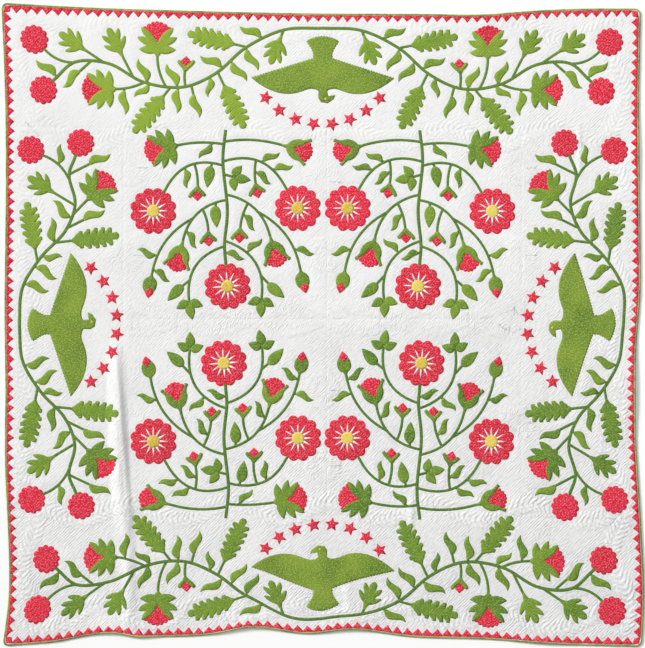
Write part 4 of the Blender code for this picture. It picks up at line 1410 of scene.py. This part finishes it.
def plume_lines():
    """The middle lines of all quilted plumes, with their half widths and the pitch of their barbs."""
    steps = np.arange(-CABLE_LENGTH, CABLE_LENGTH, PLUME_STEP)
    wave = CABLE_WAVE * np.sin(2 * math.pi * steps / CABLE_PERIOD)
    lines = [np.column_stack((steps, CABLE_Y + sign * wave)) for sign in (-1, 1)]
    plumes = [Plume(line, CABLE_HALF_WIDTH, CABLE_BARB) for line in lines]
    turn = np.arange(0, 2 * math.pi, PLUME_STEP / ROUND_RADIUS)
    ring = ROUND_RADIUS * np.column_stack((np.cos(turn), np.sin(turn)))
    plumes += [Plume(ring + middle, ROUND_HALF_WIDTH, ROUND_BARB) for middle in ROUNDS]
    steps = np.arange(-PLUME_LENGTH, PLUME_LENGTH, PLUME_STEP)
    for across, rows in ((False, PLUME_ROWS_UP), (True, PLUME_ROWS_ACROSS)):
        for k, middle in enumerate(rows):
            wave = middle + PLUME_WAVE * np.sin(2 * math.pi * steps / PLUME_PERIOD + k)
            line = np.column_stack((wave, steps) if across else (steps, wave))
            plumes.append(Plume(line, PLUME_HALF_WIDTH, PLUME_BARB))
    return plumes


def nearest(points, samples):
    """The nearest sample's index and distance for each point."""
    tree = kdtree.KDTree(len(samples))
    for index, (x, y) in enumerate(samples):
        tree.insert((x, y, 0.0), index)
    tree.balance()
    found = [tree.find((x, y, 0.0))[1:] for x, y in points.tolist()]
    pairs = np.array(found)
    return pairs[:, 0].astype(int), pairs[:, 1]


def plume_fields(points):
    """How deep each point lies in a plume, its share of the half width and its count of barbs."""
    plumes = plume_lines()
    best = np.full(len(points), 9.0)
    second = np.full(len(points), 9.0)
    share = np.full(len(points), 9.0)
    barbs = np.zeros(len(points))
    coarse = np.zeros(len(points), bool)
    for plume in plumes:
        low = plume.points.min(axis=0) - 2 * plume.half_width
        high = plume.points.max(axis=0) + 2 * plume.half_width
        near = np.flatnonzero(((points > low) & (points < high)).all(axis=1))
        index, distance = nearest(points[near], plume.points.tolist())
        place = index * PLUME_STEP - PLUME_LEAN * distance - PLUME_SWEEP * distance ** 2
        ratio = distance / plume.half_width
        closer = ratio < best[near]
        second[near] = np.minimum(second[near], np.where(closer, best[near], ratio))
        best[near] = np.where(closer, ratio, best[near])
        barbs[near] = np.where(closer, place / plume.barb, barbs[near])
        share[near] = np.where(closer, ratio, share[near])
        coarse[near] = np.where(closer, plume.barb > 3 * TOP_CELL, coarse[near])
    lobe = np.where(coarse, np.abs(np.sin(math.pi * barbs)), 0.3)
    inside_form = np.minimum(0.86 + 0.14 * lobe - share, 0.5 * (second - share))
    return inside_form * PLUME_HALF_WIDTH, share, barbs, lobe


def grid_lines(half, cell, seams):
    """Grid lines from edge to edge, with those nearest to the seams moved on to them."""
    count = round(2 * half / cell)
    lines = np.linspace(-half, half, count + 1)
    for seam in seams:
        lines[np.argmin(np.abs(lines - seam))] = seam
    return lines


def grid_points(columns, rows):
    xs, ys = np.meshgrid(columns, rows)
    return np.column_stack((xs.ravel(), ys.ravel()))


def make_top(cloths):
    """The pieced and quilted top: four borders and four blocks that meet along their seams."""
    edge = BINDING_WIDTH * 0.6
    columns = grid_lines(HALF_WIDTH - edge, TOP_CELL, (-SEAM_ACROSS, SEAM_MIDDLE_X, SEAM_ACROSS))
    rows = grid_lines(HALF_HEIGHT - edge, TOP_CELL, (SEAM_BOTTOM, SEAM_MIDDLE_Y, SEAM_TOP))
    points = grid_points(columns, rows)
    patches = BVHTree.FromPolygons(flat_points, flat_faces)
    down = Vector((0, 0, -1))
    covered = np.array([patches.ray_cast((x, y, 1.0), down)[0] is not None for x, y in points.tolist()])
    echo = nearest(points, edge_samples)[1]
    form, share, barbs, lobe = plume_fields(points)
    open_cloth = 1 - np.exp(-echo / TOP_SWELL_RUN)
    plume = np.clip(form / PLUME_RIM, 0, 1) * (PLUME_FLOOR + (1 - PLUME_FLOOR) * lobe)
    spine = np.exp(-((share / PLUME_SPINE) ** 2))
    corner = points[:, 1] - RELIEF_SLANT * points[:, 0]
    bold = np.interp(corner, (RELIEF_FROM, RELIEF_TO), (RELIEF_MOST, RELIEF_LEAST))
    relief = open_cloth * (TOP_SWELL + PLUME_SWELL * bold * (plume - 0.5 * spine * (form > 0)))
    relief += PUCKER_HEIGHT * bold * open_cloth * noise(points, PUCKER_CELL, PUCKER_SEED)
    sunk = -PATCH_TUCK * np.clip(echo / SINK_RUN, 0, 1)
    heights = cloth_height(points) + np.where(covered, sunk, relief)
    signed = np.where(covered, -echo, echo)

    def piece(name, x_from, x_to, y_from, y_to):
        i0, i1 = np.argmin(np.abs(columns - x_from)), np.argmin(np.abs(columns - x_to))
        j0, j1 = np.argmin(np.abs(rows - y_from)), np.argmin(np.abs(rows - y_to))
        own = (np.arange(j0, j1 + 1)[:, None] * len(columns) + np.arange(i0, i1 + 1)).ravel()
        faces = grid_faces(i1 - i0 + 1, j1 - j0 + 1)
        fields = {"echo": signed[own], "form": form[own], "hatch": barbs[own]}
        made = add_piece(name, points[own], heights[own], faces, cloths["ground"], **fields)
        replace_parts(made, "quilted_sheet")
        x_to - x_from
        y_to - y_from

    left, right = columns[0], columns[-1]
    piece("border_top", left, right, SEAM_TOP, rows[-1])
    piece("border_bottom", left, right, rows[0], SEAM_BOTTOM)
    piece("border_left", left, -SEAM_ACROSS, SEAM_BOTTOM, SEAM_TOP)
    piece("border_right", SEAM_ACROSS, right, SEAM_BOTTOM, SEAM_TOP)
    for up, low_y, high_y in (("upper", SEAM_MIDDLE_Y, SEAM_TOP), ("lower", SEAM_BOTTOM, SEAM_MIDDLE_Y)):
        piece(f"block_{up}_left", -SEAM_ACROSS, SEAM_MIDDLE_X, low_y, high_y)
        piece(f"block_{up}_right", SEAM_MIDDLE_X, SEAM_ACROSS, low_y, high_y)


def make_backing(cloths):
    """The plain cotton underside, flat on the surface but for the folds."""
    edge = BINDING_WIDTH * 0.5
    columns = grid_lines(HALF_WIDTH - edge, BACKING_CELL, ())
    rows = grid_lines(HALF_HEIGHT - edge, BACKING_CELL, ())
    points = grid_points(columns, rows)
    # Facing down, and split along the same diagonals as the top.
    faces = [(a, d, c, b) for a, b, c, d in grid_faces(len(columns), len(rows))]
    fields = {"echo": 1.0, "form": -1.0, "hatch": 0.0}
    heights = lift(points) + BACKING_GAP
    backing = add_piece("quilt_backing", points, heights, faces, cloths["ground"], **fields)
    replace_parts(backing, "quilted_sheet")


def make_floor():
    """A plain pale floor."""
    mesh = bpy.data.meshes.new("floor")
    rim = [(x * FLOOR_REACH, y * FLOOR_REACH, 0) for x, y in ((-1, -1), (1, -1), (1, 1), (-1, 1))]
    mesh.from_pydata(rim, [], [(0, 1, 2, 3)])
    floor = bpy.data.objects.new("floor", mesh)
    floor.location.z = -FLOOR_DROP
    paint = bpy.data.materials.new("floor_paint")
    paint.use_nodes = True
    shader = paint.node_tree.nodes["Principled BSDF"]
    shader.inputs["Base Color"].default_value = (*FLOOR_COLOUR, 1)
    shader.inputs["Roughness"].default_value = FLOOR_ROUGHNESS
    mesh.materials.append(paint)
    bpy.context.scene.collection.objects.link(floor)


def add_light(name, kind, place, power):
    """A light that faces the quilt's middle."""
    lamp = bpy.data.lights.new(name, kind)
    lamp.energy = power
    holder = bpy.data.objects.new(name, lamp)
    holder.location = place
    holder.rotation_euler = (-Vector(place)).to_track_quat("-Z", "Y").to_euler()
    bpy.context.scene.collection.objects.link(holder)
    return lamp


def make_studio():
    """A pale room, a broad key light from the upper left, and a camera straight above."""
    world = bpy.data.worlds.new("room")
    world.use_nodes = True
    world.node_tree.nodes["Background"].inputs["Color"].default_value = (1.0, 1.0, 1.0, 1)
    world.node_tree.nodes["Background"].inputs["Strength"].default_value = ROOM_LIGHT
    bpy.context.scene.world = world
    add_light("key", "SUN", KEY_FROM, KEY_LIGHT).angle = KEY_SPREAD
    add_light("top", "AREA", TOP_LIGHT_FROM, TOP_LIGHT).size = TOP_LIGHT_SIZE
    camera = bpy.data.cameras.new("camera")
    camera.lens = LENS
    camera.sensor_width = SENSOR
    holder = bpy.data.objects.new("camera", camera)
    x = (PHOTO_WIDTH / 2 - PHOTO_MIDDLE[0]) * METRES_A_PIXEL - MIDDLE[0]
    y = (PHOTO_MIDDLE[1] - PHOTO_HEIGHT / 2) * METRES_A_PIXEL - MIDDLE[1]
    holder.location = (x, y, PHOTO_HEIGHT * METRES_A_PIXEL * LENS / SENSOR)
    bpy.context.scene.collection.objects.link(holder)
    bpy.context.scene.camera = holder
    bpy.context.scene.view_settings.view_transform = "Standard"


def main():
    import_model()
    cloths = make_cloths()
    random = np.random.default_rng(CHANCE_SEED)
    birds = np.concatenate([spaced(outline) for outline in [eagle_outline(), *star_outlines()]])
    flower = "round flower"
    plants = (
        ("tree", TREE_SEATS, TREE_SHADES, TREE_STEM, TREE, "rose", TREE_FILLERS, TREE_ROOM, ()),
        ("vine", LONG_SEATS, LONG_SHADES, LONG_STEM, LONG_VINE, flower, VINE_FILLERS, LONG_ROOM, birds),
        ("vine", SHORT_SEATS, SHORT_SHADES, SHORT_STEM, SHORT_VINE, flower, VINE_FILLERS, SHORT_ROOM, birds),
    )
    pieces = []
    for kind, seats, shades, way_points, sprigs, tip, fillers, room, others in plants:
        sprigs = sprout(way_points, sprigs, tip, fillers, room, others)
        for seat, shade in zip(seats, shades):
            pieces += make_plant(kind, seat, way_points, sprigs, tip, shade, cloths, random)
    for seat in EAGLE_SEATS:
        pieces += make_eagle(seat, cloths, random)
    for side in ("top", "right", "bottom", "left"):
        pieces.append(make_teeth(side, cloths, random))
        pieces.append(make_binding(side, cloths))
    make_top(cloths)
    make_floor()
    make_backing(cloths)
    make_studio()


main()
